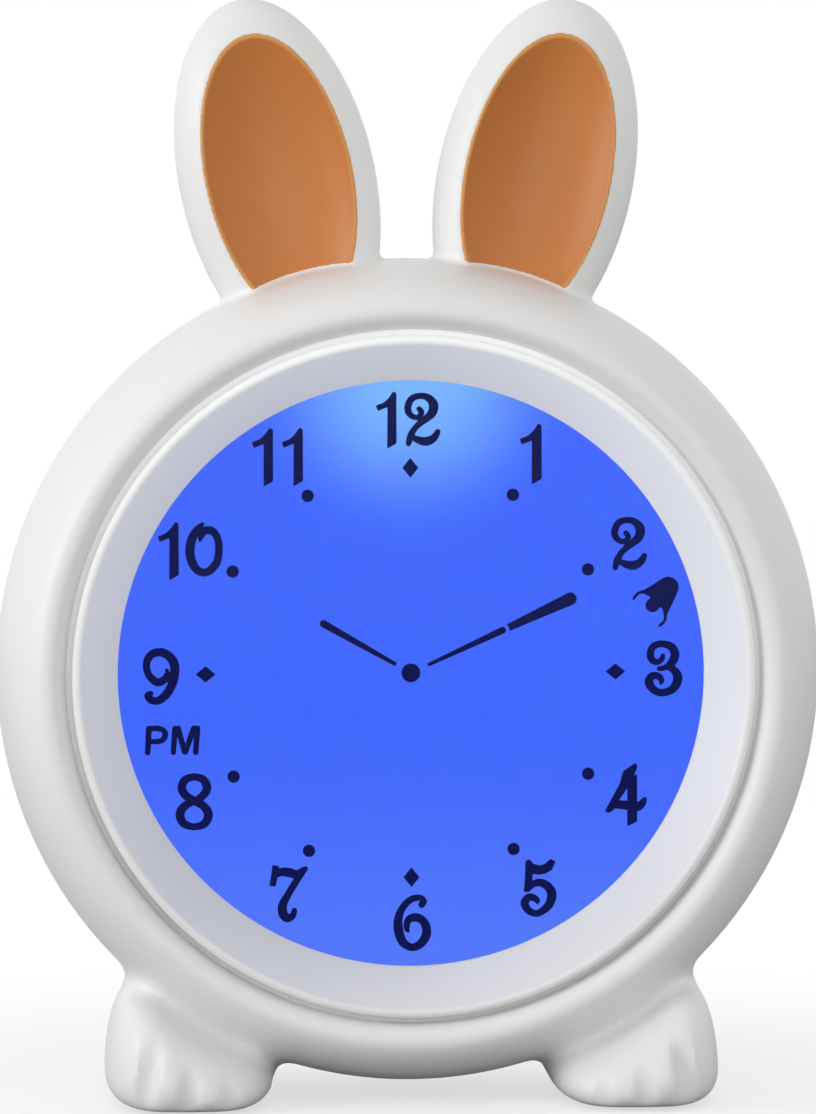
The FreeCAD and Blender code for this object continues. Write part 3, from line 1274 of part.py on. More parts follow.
tray_cuts = [block("tray_room", "2 * (" + TRAY_HALF + ")", "cell_diameter + cell_gap" + LATER,
                   TRAY_HEIGHT, "-(" + TRAY_HALF + ")", TRAY_FLOOR, TRAY_LOW)]
for number, across in enumerate(HOOK_PLACES):
    tray_cuts.append(block("hook_room_%d" % number, "door_hook_width + 2 * tray_wall",
                           "2 * tray_wall",
                           TRAY_LOW + " - tray_wall - fit_gap - (" + DOOR_LOW + ") + 2 * tray_flange",
                           across + " - door_hook_width / 2 - tray_wall",
                           BACK_INSIDE + " - tray_wall - wall / 5",
                           DOOR_LOW + " - 2 * tray_flange"))
tray_plain = cut("tray_plain", fuse("tray_joined", *tray_solids), *tray_cuts)
ribs = [block("cell_rib_%d" % number, "0.8 * cell_length", "rib_height + tray_wall / 2",
              "rib_thickness", "-0.4 * cell_length", TRAY_FLOOR + " - tray_wall / 2",
              TRAY_LOW + " + %d * (cell_diameter + cell_gap) - rib_thickness / 2" % number)
        for number in (1, 2)]
piece(fuse("battery_tray", tray_plain, *ribs))

springs = []
plates = []
CONTACT_FACE = TRAY_HALF + " - plate_thickness"
CONTACT_DEPTH = TRAY_FLOOR + " + (cell_diameter + cell_gap) / 2"
for number in range(3):
    side = 1 if number % 2 else -1
    up = TRAY_LOW + " + (cell_diameter + cell_gap) * %.1f" % (number + 0.5)
    spring = doc.addObject("Part::Cone", "spring_%d" % number)
    spring.setExpression("Radius1", bound("spring_radius"))
    spring.setExpression("Radius2", bound("0.6 * spring_radius"))
    spring.setExpression("Height", bound("contact_room"))
    spring.Placement = FreeCAD.Placement(V(0, 0, 0), FreeCAD.Rotation(V(0, 1, 0), -90 * side))
    shift(spring, CONTACT_FACE if side > 0 else "-(%s)" % CONTACT_FACE, CONTACT_DEPTH, up)
    springs.append(spring)
    for flip in SIDES:
        name = "contact_%d_%s" % (number, SIDE_NAMES[flip])
        plate = block(name + "_plate", "plate_thickness", "cell_diameter - 2 * plate_margin",
                      "cell_diameter - 2 * plate_margin",
                      CONTACT_FACE if flip > 0 else "-(%s)" % TRAY_HALF,
                      TRAY_FLOOR + " + plate_margin", up + " - cell_diameter / 2 + plate_margin")
        if flip == side:
            plates.append(plate)
            continue
        nub = doc.addObject("Part::Cylinder", name + "_nub")
        nub.setExpression("Radius", bound("nub_radius"))
        nub.setExpression("Height", bound("nub_height"))
        nub.Placement = FreeCAD.Placement(V(0, 0, 0), FreeCAD.Rotation(V(0, 1, 0), -90 * flip))
        shift(nub, CONTACT_FACE if flip > 0 else "-(%s)" % CONTACT_FACE, CONTACT_DEPTH, up)
        plates.append(fuse(name, plate, nub))
piece(group("battery_springs", *springs))
piece(group("battery_contacts", *plates))

# Battery door: a flush plate with rounded corners, finger grooves and two hooks at its lower edge.

DOOR_FRONT = BACK + " - door_thickness"
door = new_body("battery_door", z=DOOR_LOW)
door_outline = sketch_at(door, "door_outline", DOOR_FRONT)
polygon(door_outline, [("-door_width / 2", "0"), ("door_width / 2", "0"),
                       ("door_width / 2", "door_height"), ("-door_width / 2", "door_height")])
doc.recompute()
door_plate = feature(door, "Pad", "door_plate", door_outline, "door_thickness", backwards=True)
corner_edges = ["Edge%d" % (number + 1) for number, edge in enumerate(door_plate.Shape.Edges)
                if abs(edge.Vertexes[0].Y - edge.Vertexes[-1].Y) > size("door_thickness") / 2]
door_corners = door.newObject("PartDesign::Fillet", "door_corners")
door_corners.Base = (door_plate, corner_edges)
door_corners.setExpression("Radius", bound("door_corner"))
doc.recompute()
groove_outline = sketch_at(door, "groove_outline", BACK + " - groove_depth")
polygon(groove_outline, [("-groove_half_width", "door_height - groove_drop"),
                         ("groove_half_width", "door_height - groove_drop"),
                         ("groove_half_width", "door_height - groove_drop + groove_height"),
                         ("-groove_half_width", "door_height - groove_drop + groove_height")])
doc.recompute()
groove = feature(door, "Pocket", "finger_groove", groove_outline, "groove_depth" + LATER)
finger_grooves = door.newObject("PartDesign::LinearPattern", "finger_grooves")
finger_grooves.Originals = [groove]
finger_grooves.Direction = (groove_outline, ["V_Axis"])
finger_grooves.Reversed = True
finger_grooves.setExpression("Length", bound("groove_row"))
finger_grooves.Occurrences = 5
doc.recompute()
door.Tip = finger_grooves
HOOK_BACK = BACK_INSIDE + " - 3 * fit_gap"
HOOK_FRONT = HOOK_BACK + " - door_hook_thickness"
for number, across in enumerate(HOOK_PLACES):
    hook_outline = new_sketch(door, "hook_outline_%d" % number, "YZ_Plane")
    hook_outline.setExpression("AttachmentOffset.Base.z", bound(across))
    polygon(hook_outline, [
        (DOOR_FRONT + " + 2 * fit_gap", "door_hook_height"),
        (DOOR_FRONT + " + 2 * fit_gap", "door_hook_height - door_hook_thickness"),
        (HOOK_BACK, "door_hook_height - door_hook_thickness"),
        (HOOK_BACK, "-door_hook_reach"),
        (HOOK_FRONT, "-door_hook_reach"),
        (HOOK_FRONT, "door_hook_height")])
    doc.recompute()
    hook = door.newObject("PartDesign::Pad", "hook_%d" % number)
    hook.Profile = hook_outline
    hook.setExpression("Length", bound("door_hook_width"))
    hook.Midplane = True
    doc.recompute()
piece(door)

# Check everything, then write one file for each sub-part.

doc.recompute()
for obj in doc.Objects:
    if "Invalid" in obj.State or "Error" in obj.State:
        raise RuntimeError("%s did not build: %s" % (obj.Label, obj.State))
for obj in PARTS:
    if obj.Shape.isNull() or not obj.Shape.isValid() or not obj.Shape.Solids:
        raise RuntimeError("%s has no valid solid" % obj.Label)

os.makedirs("parts", exist_ok=True)
for obj in PARTS:
    obj.Shape.exportStep(os.path.join("parts", obj.Label + ".step"))
    box = obj.Shape.BoundBox
    print("%-24s %2d solids  x %7.2f %7.2f  y %7.2f %7.2f  z %7.2f %7.2f" % (
        obj.Label, len(obj.Shape.Solids), box.XMin, box.XMax, box.YMin, box.YMax, box.ZMin, box.ZMax))
print(len(PARTS), "sub-parts")
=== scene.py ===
"""Looks of the kids' alarm clock: moulded shells, dished ear inlays, the funnel round the lit dial,
its numerals and hands, and the finish of every piece."""
import bpy
import bmesh
import json
import math
import numpy as np
from mathutils import Matrix, Vector
from mathutils.geometry import delaunay_2d_cdt


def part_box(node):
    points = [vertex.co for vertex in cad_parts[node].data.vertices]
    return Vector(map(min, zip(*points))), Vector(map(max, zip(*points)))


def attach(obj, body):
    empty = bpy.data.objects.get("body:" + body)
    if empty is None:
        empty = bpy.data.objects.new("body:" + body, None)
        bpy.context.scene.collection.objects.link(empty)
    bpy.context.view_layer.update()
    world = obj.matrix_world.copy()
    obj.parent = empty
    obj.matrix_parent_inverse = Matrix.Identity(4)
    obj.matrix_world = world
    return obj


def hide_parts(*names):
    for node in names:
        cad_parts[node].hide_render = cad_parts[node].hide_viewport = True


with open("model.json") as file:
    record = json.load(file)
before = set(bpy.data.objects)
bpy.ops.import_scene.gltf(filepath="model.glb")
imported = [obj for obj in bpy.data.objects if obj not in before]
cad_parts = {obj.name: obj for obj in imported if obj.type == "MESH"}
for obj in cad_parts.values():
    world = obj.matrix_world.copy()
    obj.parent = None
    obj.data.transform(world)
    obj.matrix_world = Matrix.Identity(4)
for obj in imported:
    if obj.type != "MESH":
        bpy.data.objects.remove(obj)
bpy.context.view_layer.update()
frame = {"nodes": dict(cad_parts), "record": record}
NODES = frame["nodes"]
MM = 0.001
# The least divisor, and how near two points are when they count as one.
TINY = 1e-6
SAME_PLACE = 1e-7

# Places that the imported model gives.
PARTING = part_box("front_shell")[1].y
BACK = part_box("rear_shell")[1].y
WINDOW_LOW, WINDOW_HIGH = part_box("display_window")
AXIS_HEIGHT = (WINDOW_LOW.z + WINDOW_HIGH.z) / 2
WINDOW_RADIUS = (WINDOW_HIGH.x - WINDOW_LOW.x) / 2
PANEL_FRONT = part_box("lcd_panel")[0].y
TOE_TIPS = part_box("front_shell")[0].y
HEEL = 20 * MM

# Sizes of the moulded forms.
BODY_RADIUS = 75 * MM
CREST_RADIUS = 64 * MM
OPENING_RADIUS = 62.4 * MM
BACK_RADIUS = 61.5 * MM
RING_DEPTH = 24 * MM
BACK_DEPTH = BACK - PARTING
RIM_DEPTH = 5 * MM
OPENING_END = -15 * MM
COLLAR_ROOM = 0.9 * MM
WALL = 2.5 * MM
EAR_CENTRE = Vector((23.5 * MM, PARTING, 167.4 * MM))
EAR_AXES = (17.8 * MM, 11 * MM, 33.2 * MM)
EAR_TILT = math.radians(12.35)
BOWL_CENTRE = Vector((23.5 * MM, -17.82 * MM, 168.4 * MM))
BOWL_AXES = (15.125 * MM, 11.25 * MM, 32.625 * MM)
INLAY_THICKNESS = 1.5 * MM
SEAT_GROWTH = INLAY_THICKNESS - 0.4 * MM
DISH_GROWTH = 0.8 * MM
INLAY_PROUD = 0.1 * MM
INLAY_GAP = 0.15 * MM
PAW_OFFSET = 40.4 * MM
PAW_HALF_WIDTH = 15.5 * MM
PAW_SOLE = 0.5 * MM
PAW_FLARE = 8.5 * MM
PAW_FLARE_START = PARTING - 8 * MM
PAW_SINK = 1.5 * MM
PAW_SINK_RUN = 2.5 * MM
HEEL_ROUND = 14 * MM
HEEL_DROP = 10 * MM
PAW_HEIGHT = 24.9 * MM
# How square the foot is: 2 gives an ellipsoid.
FOOT_POWER = 3
FOOT_LEAST_SLOPE = 1e-3
CREASE_RADIUS = 1.9 * MM
CREASE_DEPTH = 1.7 * MM
CREASE_BEND = 0.02
# Where each crease between two toes starts, out from the middle of the paw, and its lean inwards.
CREASES = [(-7.4 * MM, 0.02), (0.9 * MM, 0.13), (9.3 * MM, 0.19)]
WELL_RING = 66.5 * MM
WELL_RADIUS = 3.4 * MM
WELL_WALL = 1.4 * MM
WELL_FLOOR = -0.5 * MM
WELL_TURNS = (45, 135, 225, 315)
BUTTON_RING = 44 * MM
SIDES = {"left": -1, "right": 1}

# How far forms are rounded where they meet.
EAR_BLEND = 1.6 * MM
SEAT_BLEND = 0.8 * MM
INLAY_BLEND = 0.3 * MM
INLAY_END_BLEND = 0.4 * MM
PAW_BLEND = 4.5 * MM
SOLE_BLEND = 6 * MM
PAW_TOP_BLEND = 5 * MM
CREASE_BLEND = 1.4 * MM
OPENING_BLEND = 5.5 * MM


def on_ring(degrees, ring=BUTTON_RING):
    """Across and up of a place on a ring about the dial axis."""
    angle = math.radians(degrees)
    return ring * math.cos(angle), AXIS_HEIGHT + ring * math.sin(angle)


# Distance fields: negative inside a form, in metres.

def soft_max(first, second, blend):
    """The larger of two fields, with their edge rounded."""
    share = np.clip(0.5 + 0.5 * (first - second) / blend, 0, 1)
    return second + share * (first - second) + blend * share * (1 - share)


def soft_min(first, second, blend):
    """The smaller of two fields, with their crease rounded."""
    return -soft_max(-first, -second, blend)


def flat_and_reach(y):
    """Flat radius and depth of the half of the body that a place lies in."""
    front = y < PARTING
    return np.where(front, CREST_RADIUS, BACK_RADIUS), np.where(front, RING_DEPTH, BACK_DEPTH)


def round_body(x, y, z):
    """Two quarter ellipses turned about the dial axis, with a flat crest and a flat back."""
    radius = np.hypot(x, z - AXIS_HEIGHT)
    flat, reach = flat_and_reach(y)
    side = BODY_RADIUS - flat
    across = np.maximum(radius - flat, 0) / side
    along = (y - PARTING) / reach
    level = np.maximum(np.hypot(across, along), TINY)
    return (level - 1) * level / np.maximum(np.hypot(across / side, along / reach), TINY)


def turned_ellipsoid(x, y, z, side, centre, axes, grow=0.0):
    """An ellipsoid that leans outwards with the ear of its side."""
    dx = x - side * centre.x
    dz = z - centre.z
    cos, sin = math.cos(EAR_TILT), side * math.sin(EAR_TILT)
    spots = (cos * dx - sin * dz, y - centre.y, sin * dx + cos * dz)
    sizes = [axis + grow for axis in axes]
    level = np.sqrt(sum((spot / size) ** 2 for spot, size in zip(spots, sizes)))
    slope = np.sqrt(sum((spot / size ** 2) ** 2 for spot, size in zip(spots, sizes)))
    return (level - 1) * level / np.maximum(slope, TINY)


def ear(x, y, z, side):
    """One ear, with the dished seat of its inlay cut into it."""
    outside = turned_ellipsoid(x, y, z, side, EAR_CENTRE, EAR_AXES)
    seat = turned_ellipsoid(x, y, z, side, BOWL_CENTRE, BOWL_AXES, SEAT_GROWTH)
    return soft_max(outside, -seat, SEAT_BLEND)


def paw_top(y):
    """Radius about the dial axis that the top of a paw follows at each depth."""
    depth = np.maximum(y, PAW_FLARE_START)
    flat, reach = flat_and_reach(depth)
    along = np.clip((depth - PARTING) / reach, -1, 1)
    radius = flat + (BODY_RADIUS - flat) * np.sqrt(1 - along ** 2)
    share = np.clip((PAW_FLARE_START - y) / (PAW_FLARE_START - TOE_TIPS), 0, 1)
    toes = PAW_FLARE * (1 - np.sqrt(1 - share ** 2))
    heel_share = np.clip((y - HEEL + HEEL_ROUND) / HEEL_ROUND, 0, 1)
    heel = HEEL_DROP * (1 - np.sqrt(1 - heel_share ** 2))
    sunk = PAW_SINK * np.clip((y - PAW_FLARE_START) / PAW_SINK_RUN, 0, 1)
    return radius - sunk + toes + heel


def paw(x, y, z, side):
    """A rounded foot, flat below, its top falling away from the round body, with three creases."""
    spots = (np.abs(side * x - PAW_OFFSET), np.abs(y - (HEEL + TOE_TIPS) / 2), np.maximum(z, 0))
    sizes = (PAW_HALF_WIDTH, (HEEL - TOE_TIPS) / 2, PAW_HEIGHT)
    total = sum((spot / size) ** FOOT_POWER for spot, size in zip(spots, sizes))
    level = np.maximum(total, TINY) ** (1 / FOOT_POWER)
    slope = np.sqrt(sum((spot ** (FOOT_POWER - 1) / size ** FOOT_POWER) ** 2
                        for spot, size in zip(spots, sizes)))
    form = (level - 1) * level ** (FOOT_POWER - 1) / np.maximum(slope, FOOT_LEAST_SLOPE)
    form = soft_max(form, PAW_SOLE - z, SOLE_BLEND)
    form = soft_max(form, paw_top(y) - np.hypot(x, z - AXIS_HEIGHT), PAW_TOP_BLEND)
    form = np.maximum(form, z - AXIS_HEIGHT / 2)
    for foot, lean in CREASES:
        middle = PAW_OFFSET + foot - lean * z
        depth = TOE_TIPS - CREASE_RADIUS + CREASE_DEPTH + CREASE_BEND * (foot / MM) ** 2 * MM
        crease = np.hypot(side * x - middle, y - depth) - CREASE_RADIUS
        form = soft_max(form, -crease, CREASE_BLEND)
    return form


def outer_form(x, y, z):
    """The outside of body, ears and paws together."""
    form = round_body(x, y, z)
    for side in SIDES.values():
        form = soft_min(form, ear(x, y, z, side), EAR_BLEND)
        form = soft_min(form, paw(x, y, z, side), PAW_BLEND)
    return form


def front_solid(x, y, z):
    """The front moulding: an even wall, turned in round the dial opening."""
    radius = np.hypot(x, z - AXIS_HEIGHT)
    outside = outer_form(x, y, z)
    opening = np.maximum(radius - OPENING_RADIUS, y - OPENING_END)
    collar = np.maximum(radius - CREST_RADIUS - WALL,
                        y - PARTING + RING_DEPTH - RIM_DEPTH - COLLAR_ROOM)
    cavity = np.maximum(outside + WALL, -collar)
    return np.maximum(soft_max(outside, -opening, OPENING_BLEND), -cavity)


def well_tubes(x, z):
    """The four tubes round the screw wells, as upright rods without ends."""
    rods = []
    for turn in WELL_TURNS:
        across, up = on_ring(turn, WELL_RING)
        rods.append(np.hypot(x - across, z - up) - WELL_RADIUS - WELL_WALL)
    return np.minimum.reduce(rods)


def rear_solid(x, y, z):
    """The rear moulding: an even wall with four tubes sunk into it for the screws."""
    outside = outer_form(x, y, z)
    cavity = np.maximum(outside + WALL, -well_tubes(x, z))
    return np.maximum(outside, -cavity)


def inlay(side):
    """The dished shell of one ear inlay, cut by the ear's front and by the ring."""
    def field(x, y, z):
        outside = turned_ellipsoid(x, y, z, side, BOWL_CENTRE, BOWL_AXES, INLAY_THICKNESS)
        dish = turned_ellipsoid(x, y, z, side, BOWL_CENTRE, BOWL_AXES, DISH_GROWTH)
        front = turned_ellipsoid(x, y, z, side, EAR_CENTRE, EAR_AXES, INLAY_PROUD)
        form = soft_max(soft_max(outside, front, INLAY_BLEND), -dish, INLAY_BLEND)
        return soft_max(form, INLAY_GAP - round_body(x, y, z), INLAY_END_BLEND)
    return field


# Meshes from fields.

# Points of a flat cap are handed over in millimetres.
CAP_SCALE = 1000.0
# Corners and edges of one cell of a grid.
CUBE_CORNERS = [(a, b, c) for a in (0, 1) for b in (0, 1) for c in (0, 1)]
CUBE_EDGES = [(i, j) for i in range(8) for j in range(i + 1, 8)
              if sum(abs(p - q) for p, q in zip(CUBE_CORNERS[i], CUBE_CORNERS[j])) == 1]


def field_values(field, axes):
    """The field on a grid, worked out in slices to save memory."""
    across, along, up = axes
    values = np.empty((len(across), len(along), len(up)), np.float32)
    for index, x in enumerate(across):
        values[index] = field(np.full((len(along), len(up)), x), along[:, None], up[None, :])
    return values


def settle(field, points, step):
    """Moves points onto the surface of the field, in three short moves."""
    reach = 0.05 * step
    least_slope = 0.05
    longest = 0.6 * step
    for turn in range(3):
        value = field(*points.T)
        slope = np.empty_like(points)
        for axis in range(3):
            ahead = points.copy()
            ahead[:, axis] += reach
            behind = points.copy()
            behind[:, axis] -= reach
            slope[:, axis] = (field(*ahead.T) - field(*behind.T)) / (2 * reach)
        length = np.maximum((slope ** 2).sum(1), least_slope)
        move = -slope * (value / length)[:, None]
        points = points + np.clip(move, -longest, longest)
    return points


def graded(low, high, step, fine, fine_low, fine_high):
    """Grid places with a finer step between two limits."""
    return np.concatenate((np.arange(low, fine_low - 0.5 * step, step),
                           np.arange(fine_low, fine_high, fine),
                           np.arange(fine_high, high + step, step)))


def surface_of(field, axes):
    """Points and quads of the surface on a grid: one point in each cell it crosses."""
    values = field_values(field, axes)
    inside = values < 0
    cells = tuple(size - 1 for size in inside.shape)
    corner_sum = np.zeros(cells, np.int8)
    for a, b, c in CUBE_CORNERS:
        corner_sum += inside[a:a + cells[0], b:b + cells[1], c:c + cells[2]]
    crossed = (corner_sum > 0) & (corner_sum < 8)
    number = np.full(cells, -1, np.int64)
    number[crossed] = np.arange(crossed.sum())
    spots = np.argwhere(crossed)
    corner_values = np.stack([values[tuple((spots + corner).T)] for corner in CUBE_CORNERS], 1)
    total = np.zeros((len(spots), 3))
    count = np.zeros(len(spots))
    for first, second in CUBE_EDGES:
        one = corner_values[:, first]
        two = corner_values[:, second]
        cuts = (one < 0) != (two < 0)
        share = np.where(cuts, one / np.where(cuts, one - two, 1), 0)[:, None]
        start = np.array(CUBE_CORNERS[first])
        way = np.array(CUBE_CORNERS[second]) - start
        total += np.where(cuts[:, None], start + share * way, 0)
        count += cuts
    within = total / count[:, None]
    points = np.empty_like(within)
    for axis in range(3):
        start = axes[axis][spots[:, axis]]
        points[:, axis] = start + within[:, axis] * (axes[axis][spots[:, axis] + 1] - start)
    points = settle(field, points, min(np.diff(places).min() for places in axes))
    quads = []
    for axis in range(3):
        one, two = [other for other in range(3) if other != axis]
        near = [slice(1, -1)] * 3
        near[axis] = slice(0, -1)
        far = list(near)
        far[axis] = slice(1, None)
        first = inside[tuple(near)]
        change = first != inside[tuple(far)]
        shift = np.ones(3, int)
        shift[axis] = 0
        places = np.argwhere(change) + shift
        rings = []
        for step_one, step_two in ((-1, -1), (0, -1), (0, 0), (-1, 0)):
            spot = places.copy()
            spot[:, one] += step_one
            spot[:, two] += step_two
            rings.append(number[tuple(spot.T)])
        ring = np.stack(rings, 1)
        flip = first[change] != (axis == 1)
        ring[~flip] = ring[~flip][:, ::-1]
        quads.append(ring)
    return points, np.concatenate(quads)


def placed(name, data):
    """A new object in the scene, at the origin."""
    obj = bpy.data.objects.new(name, data)
    bpy.context.scene.collection.objects.link(obj)
    return obj


def mesh_piece(name, points, faces):
    """A new mesh object from points and faces."""
    mesh = bpy.data.meshes.new(name)
    mesh.from_pydata([tuple(point) for point in points], [], [tuple(face) for face in faces])
    mesh.update()
    return placed(name, mesh)


def net(points, faces):
    """A bmesh from points and faces."""
    bm = bmesh.new()
    verts = [bm.verts.new(point) for point in points]
    for face in faces:
        bm.faces.new([verts[index] for index in face])
    return bm


def smooth(obj, degrees=35):
    """Smooth shading, with edges sharper than an angle kept crisp."""
    obj.data.shade_smooth()
    obj.data.set_sharp_from_angle(angle=math.radians(degrees))
    return obj


def cut_at_parting(points, quads, solid, keep_front):
    """Cuts a net at the parting plane and closes the wall there with a flat face."""
    bm = net(points, quads)
    geometry = list(bm.verts) + list(bm.edges) + list(bm.faces)
    bmesh.ops.bisect_plane(bm, geom=geometry, dist=SAME_PLACE, plane_co=(0, PARTING, 0),
                           plane_no=(0, 1, 0), clear_outer=keep_front,
                           clear_inner=not keep_front)
    rims = [edge for edge in bm.edges if edge.is_boundary
            and all(abs(vert.co.y - PARTING) < TINY for vert in edge.verts)]
    edge_verts = list(dict.fromkeys(vert for edge in rims for vert in edge.verts))
    order = {vert: index for index, vert in enumerate(edge_verts)}
    places = [Vector((vert.co.x * CAP_SCALE, vert.co.z * CAP_SCALE)) for vert in edge_verts]
    lines = [(order[edge.verts[0]], order[edge.verts[1]]) for edge in rims]
    found = delaunay_2d_cdt(places, lines, [], 0, 1e-4, True)
    origin = [numbers[0] if numbers else None for numbers in found[3]]
    corners = np.array([[found[0][index][:] for index in face] for face in found[2]]) / CAP_SCALE
    middles = corners.mean(1)
    filled = solid(middles[:, 0], np.full(len(middles), PARTING), middles[:, 1]) < 0
    for face, wanted in zip(found[2], filled):
        numbers = [origin[index] for index in face]
        if wanted and None not in numbers:
            bm.faces.new([edge_verts[number] for number in numbers])
    return bm


def finished(name, bm):
    """A mesh object from a closed bmesh, its faces pointing outwards."""
    bmesh.ops.remove_doubles(bm, verts=bm.verts, dist=SAME_PLACE)
    bmesh.ops.dissolve_degenerate(bm, dist=SAME_PLACE, edges=bm.edges)
    bmesh.ops.recalc_face_normals(bm, faces=bm.faces)
    mesh = bpy.data.meshes.new(name)
    bm.to_mesh(mesh)
    bm.free()
    return placed(name, mesh)


# Grids of the shells, finer round the ears.
STEP = 1.1 * MM
EAR_STEP = 0.6 * MM
EAR_STEP_ACROSS = 0.8 * MM
SHELL_SIDE = 78 * MM
SHELL_LOW = -3 * MM
SHELL_TOP = 203 * MM
SHELL_FRONT = -36 * MM
SHELL_BACK = 35 * MM
EAR_SIDE = 46 * MM
EAR_LOW = 138 * MM
EAR_TOP = 202 * MM
EAR_FRONT = -15 * MM
PAST_PARTING = 3 * STEP


def front_shell():
    """Ring, ear fronts and paw fronts, open at the back and at the dial."""
    across = graded(-SHELL_SIDE, SHELL_SIDE, STEP, EAR_STEP_ACROSS, -EAR_SIDE, EAR_SIDE)
    along = graded(SHELL_FRONT, PARTING + PAST_PARTING, STEP, EAR_STEP, EAR_FRONT, PARTING)
    up = graded(SHELL_LOW, SHELL_TOP, STEP, EAR_STEP, EAR_LOW, EAR_TOP)
    points, quads = surface_of(front_solid, (across, along, up))
    return cut_at_parting(points, quads, front_solid, True)


def rear_shell():
    """Domed back, ear backs and heels, open at the front."""
    across = np.arange(-SHELL_SIDE, SHELL_SIDE + MM, STEP)
    along = np.arange(PARTING - PAST_PARTING, SHELL_BACK, STEP)
    up = np.arange(SHELL_LOW, SHELL_TOP + MM, STEP)
    points, quads = surface_of(rear_solid, (across, along, up))
    return cut_at_parting(points, quads, rear_solid, False)


# Turned and pressed pieces.

def turned(name, profile, segments=192):
    """A closed profile of (radius, depth) turned about the dial axis."""
    points = []
    for index in range(segments):
        angle = 2 * math.pi * index / segments
        for radius, depth in profile:
            points.append((radius * math.cos(angle), depth, AXIS_HEIGHT + radius * math.sin(angle)))
    count = len(profile)
    faces = []
    for index in range(segments):
        here = index * count
        there = (index + 1) % segments * count
        for spot in range(count):
            after = (spot + 1) % count
            faces.append((here + spot, here + after, there + after, there + spot))
    return finished(name, net(points, faces))


def rounded(profile, radii, steps=5):
    """Corners of a closed profile replaced by arcs of the radii given."""
    longest = 0.49
    out = []
    count = len(profile)
    for index, corner in enumerate(profile):
        radius = radii[index]
        here = Vector(corner)
        back = Vector(profile[index - 1]) - here
        ahead = Vector(profile[(index + 1) % count]) - here
        if radius == 0 or back.length == 0 or ahead.length == 0:
            out.append(tuple(here))
            continue
        half = back.angle(ahead) / 2
        run = min(radius / math.tan(half), longest * back.length, longest * ahead.length)
        radius = run * math.tan(half)
        middle = (back.normalized() + ahead.normalized()).normalized()
        centre = here + middle * (radius / math.sin(half))
        start = here + back.normalized() * run - centre
        end = here + ahead.normalized() * run - centre
        for step in range(steps + 1):
            way = start.lerp(end, step / steps)
            out.append(tuple(centre + way.normalized() * radius))
    return out


def outline(half_width, half_height, corner, inset=0.0, steps=8):
    """A rounded rectangle in the X-Z plane, anticlockwise; its corners may be full rounds."""
    width = half_width - inset
    height = half_height - inset
    radius = min(max(corner - inset, 0.05 * MM), width, height)
    points = []
    for quarter in range(4):
        middle_x = (width - radius) * (1 if quarter in (0, 3) else -1)
        middle_z = (height - radius) * (1 if quarter in (0, 1) else -1)
        for step in range(steps + 1):
            angle = math.pi / 2 * (quarter + step / steps)
            points.append((middle_x + radius * math.cos(angle), middle_z + radius * math.sin(angle)))
    return points


def pressed(name, place, half_width, half_height, corner, levels, steps=8):
    """A form with one outline all the way, given as (inset, depth) levels from front to back."""
    across, up = place
    bm = bmesh.new()
    rings = []
    for inset, depth in levels:
        ring = [bm.verts.new((across + x, depth, up + z))
                for x, z in outline(half_width, half_height, corner, inset, steps)]
        rings.append(ring)
    for one, two in zip(rings[:-1], rings[1:]):
        for index in range(len(one)):
            after = (index + 1) % len(one)
            bm.faces.new((one[index], one[after], two[after], two[index]))
    bm.faces.new(rings[0])
    bm.faces.new(rings[-1][::-1])
    return finished(name, bm)


def cut_through(obj, tools):
    """Cuts closed tools out of a closed piece."""
    bpy.ops.object.select_all(action="DESELECT")
    for tool in tools:
        tool.select_set(True)
    bpy.context.view_layer.objects.active = tools[0]
    bpy.ops.object.join()
    tool = tools[0]
    modifier = obj.modifiers.new("openings", "BOOLEAN")
    modifier.operation = "DIFFERENCE"
    modifier.solver = "EXACT"
    modifier.object = tool
    graph = bpy.context.evaluated_depsgraph_get()
    mesh = bpy.data.meshes.new_from_object(obj.evaluated_get(graph))
    obj.modifiers.remove(modifier)
    obj.data = mesh
    bpy.data.objects.remove(tool)
    return obj


# Finishes.

def fill(made, values):
    """Sets inputs of a node by name or number."""
    for key, value in values.items():
        made.inputs[key].default_value = value


def node(tree, kind, values=None, **settings):
    """A new node, its settings first and then its inputs."""
    made = tree.nodes.new(kind)
    for key, value in settings.items():
        setattr(made, key, value)
    fill(made, values or {})
    return made


def wire(tree, *joins):
    """Joins sockets: each join is a node, its output, the next node and its input."""
    for start, out, end, socket in joins:
        tree.links.new(start.outputs[out], end.inputs[socket])


def shader_of(material):
    """The node tree of a material, and its shader."""
    tree = material.node_tree
    return tree, tree.nodes["Principled BSDF"]


def finish_of(name, colour, roughness, metallic=0.0):
    """A material with its shader's plain sockets set."""
    material = bpy.data.materials.new(name)
    material.use_nodes = True
    shader = shader_of(material)[1]
    fill(shader, {"Base Color": (*colour, 1), "Roughness": roughness, "Metallic": metallic})
    return material


def textured(material, dark, light, grain, bump, rough_low, rough_high):
    """Cloudy colour, fine grain and uneven gloss, all by object coordinates."""
    tree, shader = shader_of(material)
    place = node(tree, "ShaderNodeTexCoord")
    cloud = node(tree, "ShaderNodeTexNoise", {"Scale": 28.0, "Detail": 3.0})
    fine = node(tree, "ShaderNodeTexNoise", {"Scale": grain, "Detail": 2.0})
    tint = node(tree, "ShaderNodeMix", {"A": (*dark, 1), "B": (*light, 1)}, data_type="RGBA")
    gloss = node(tree, "ShaderNodeMapRange", {"To Min": rough_low, "To Max": rough_high})
    relief = node(tree, "ShaderNodeBump", {"Strength": bump, "Distance": 0.04 * MM})
    wire(tree, (place, "Object", cloud, "Vector"), (place, "Object", fine, "Vector"),
         (cloud, "Fac", tint, "Factor"), (tint, "Result", shader, "Base Color"),
         (fine, "Fac", gloss, "Value"), (gloss, "Result", shader, "Roughness"),
         (fine, "Fac", relief, "Height"), (relief, "Normal", shader, "Normal"))
    return material


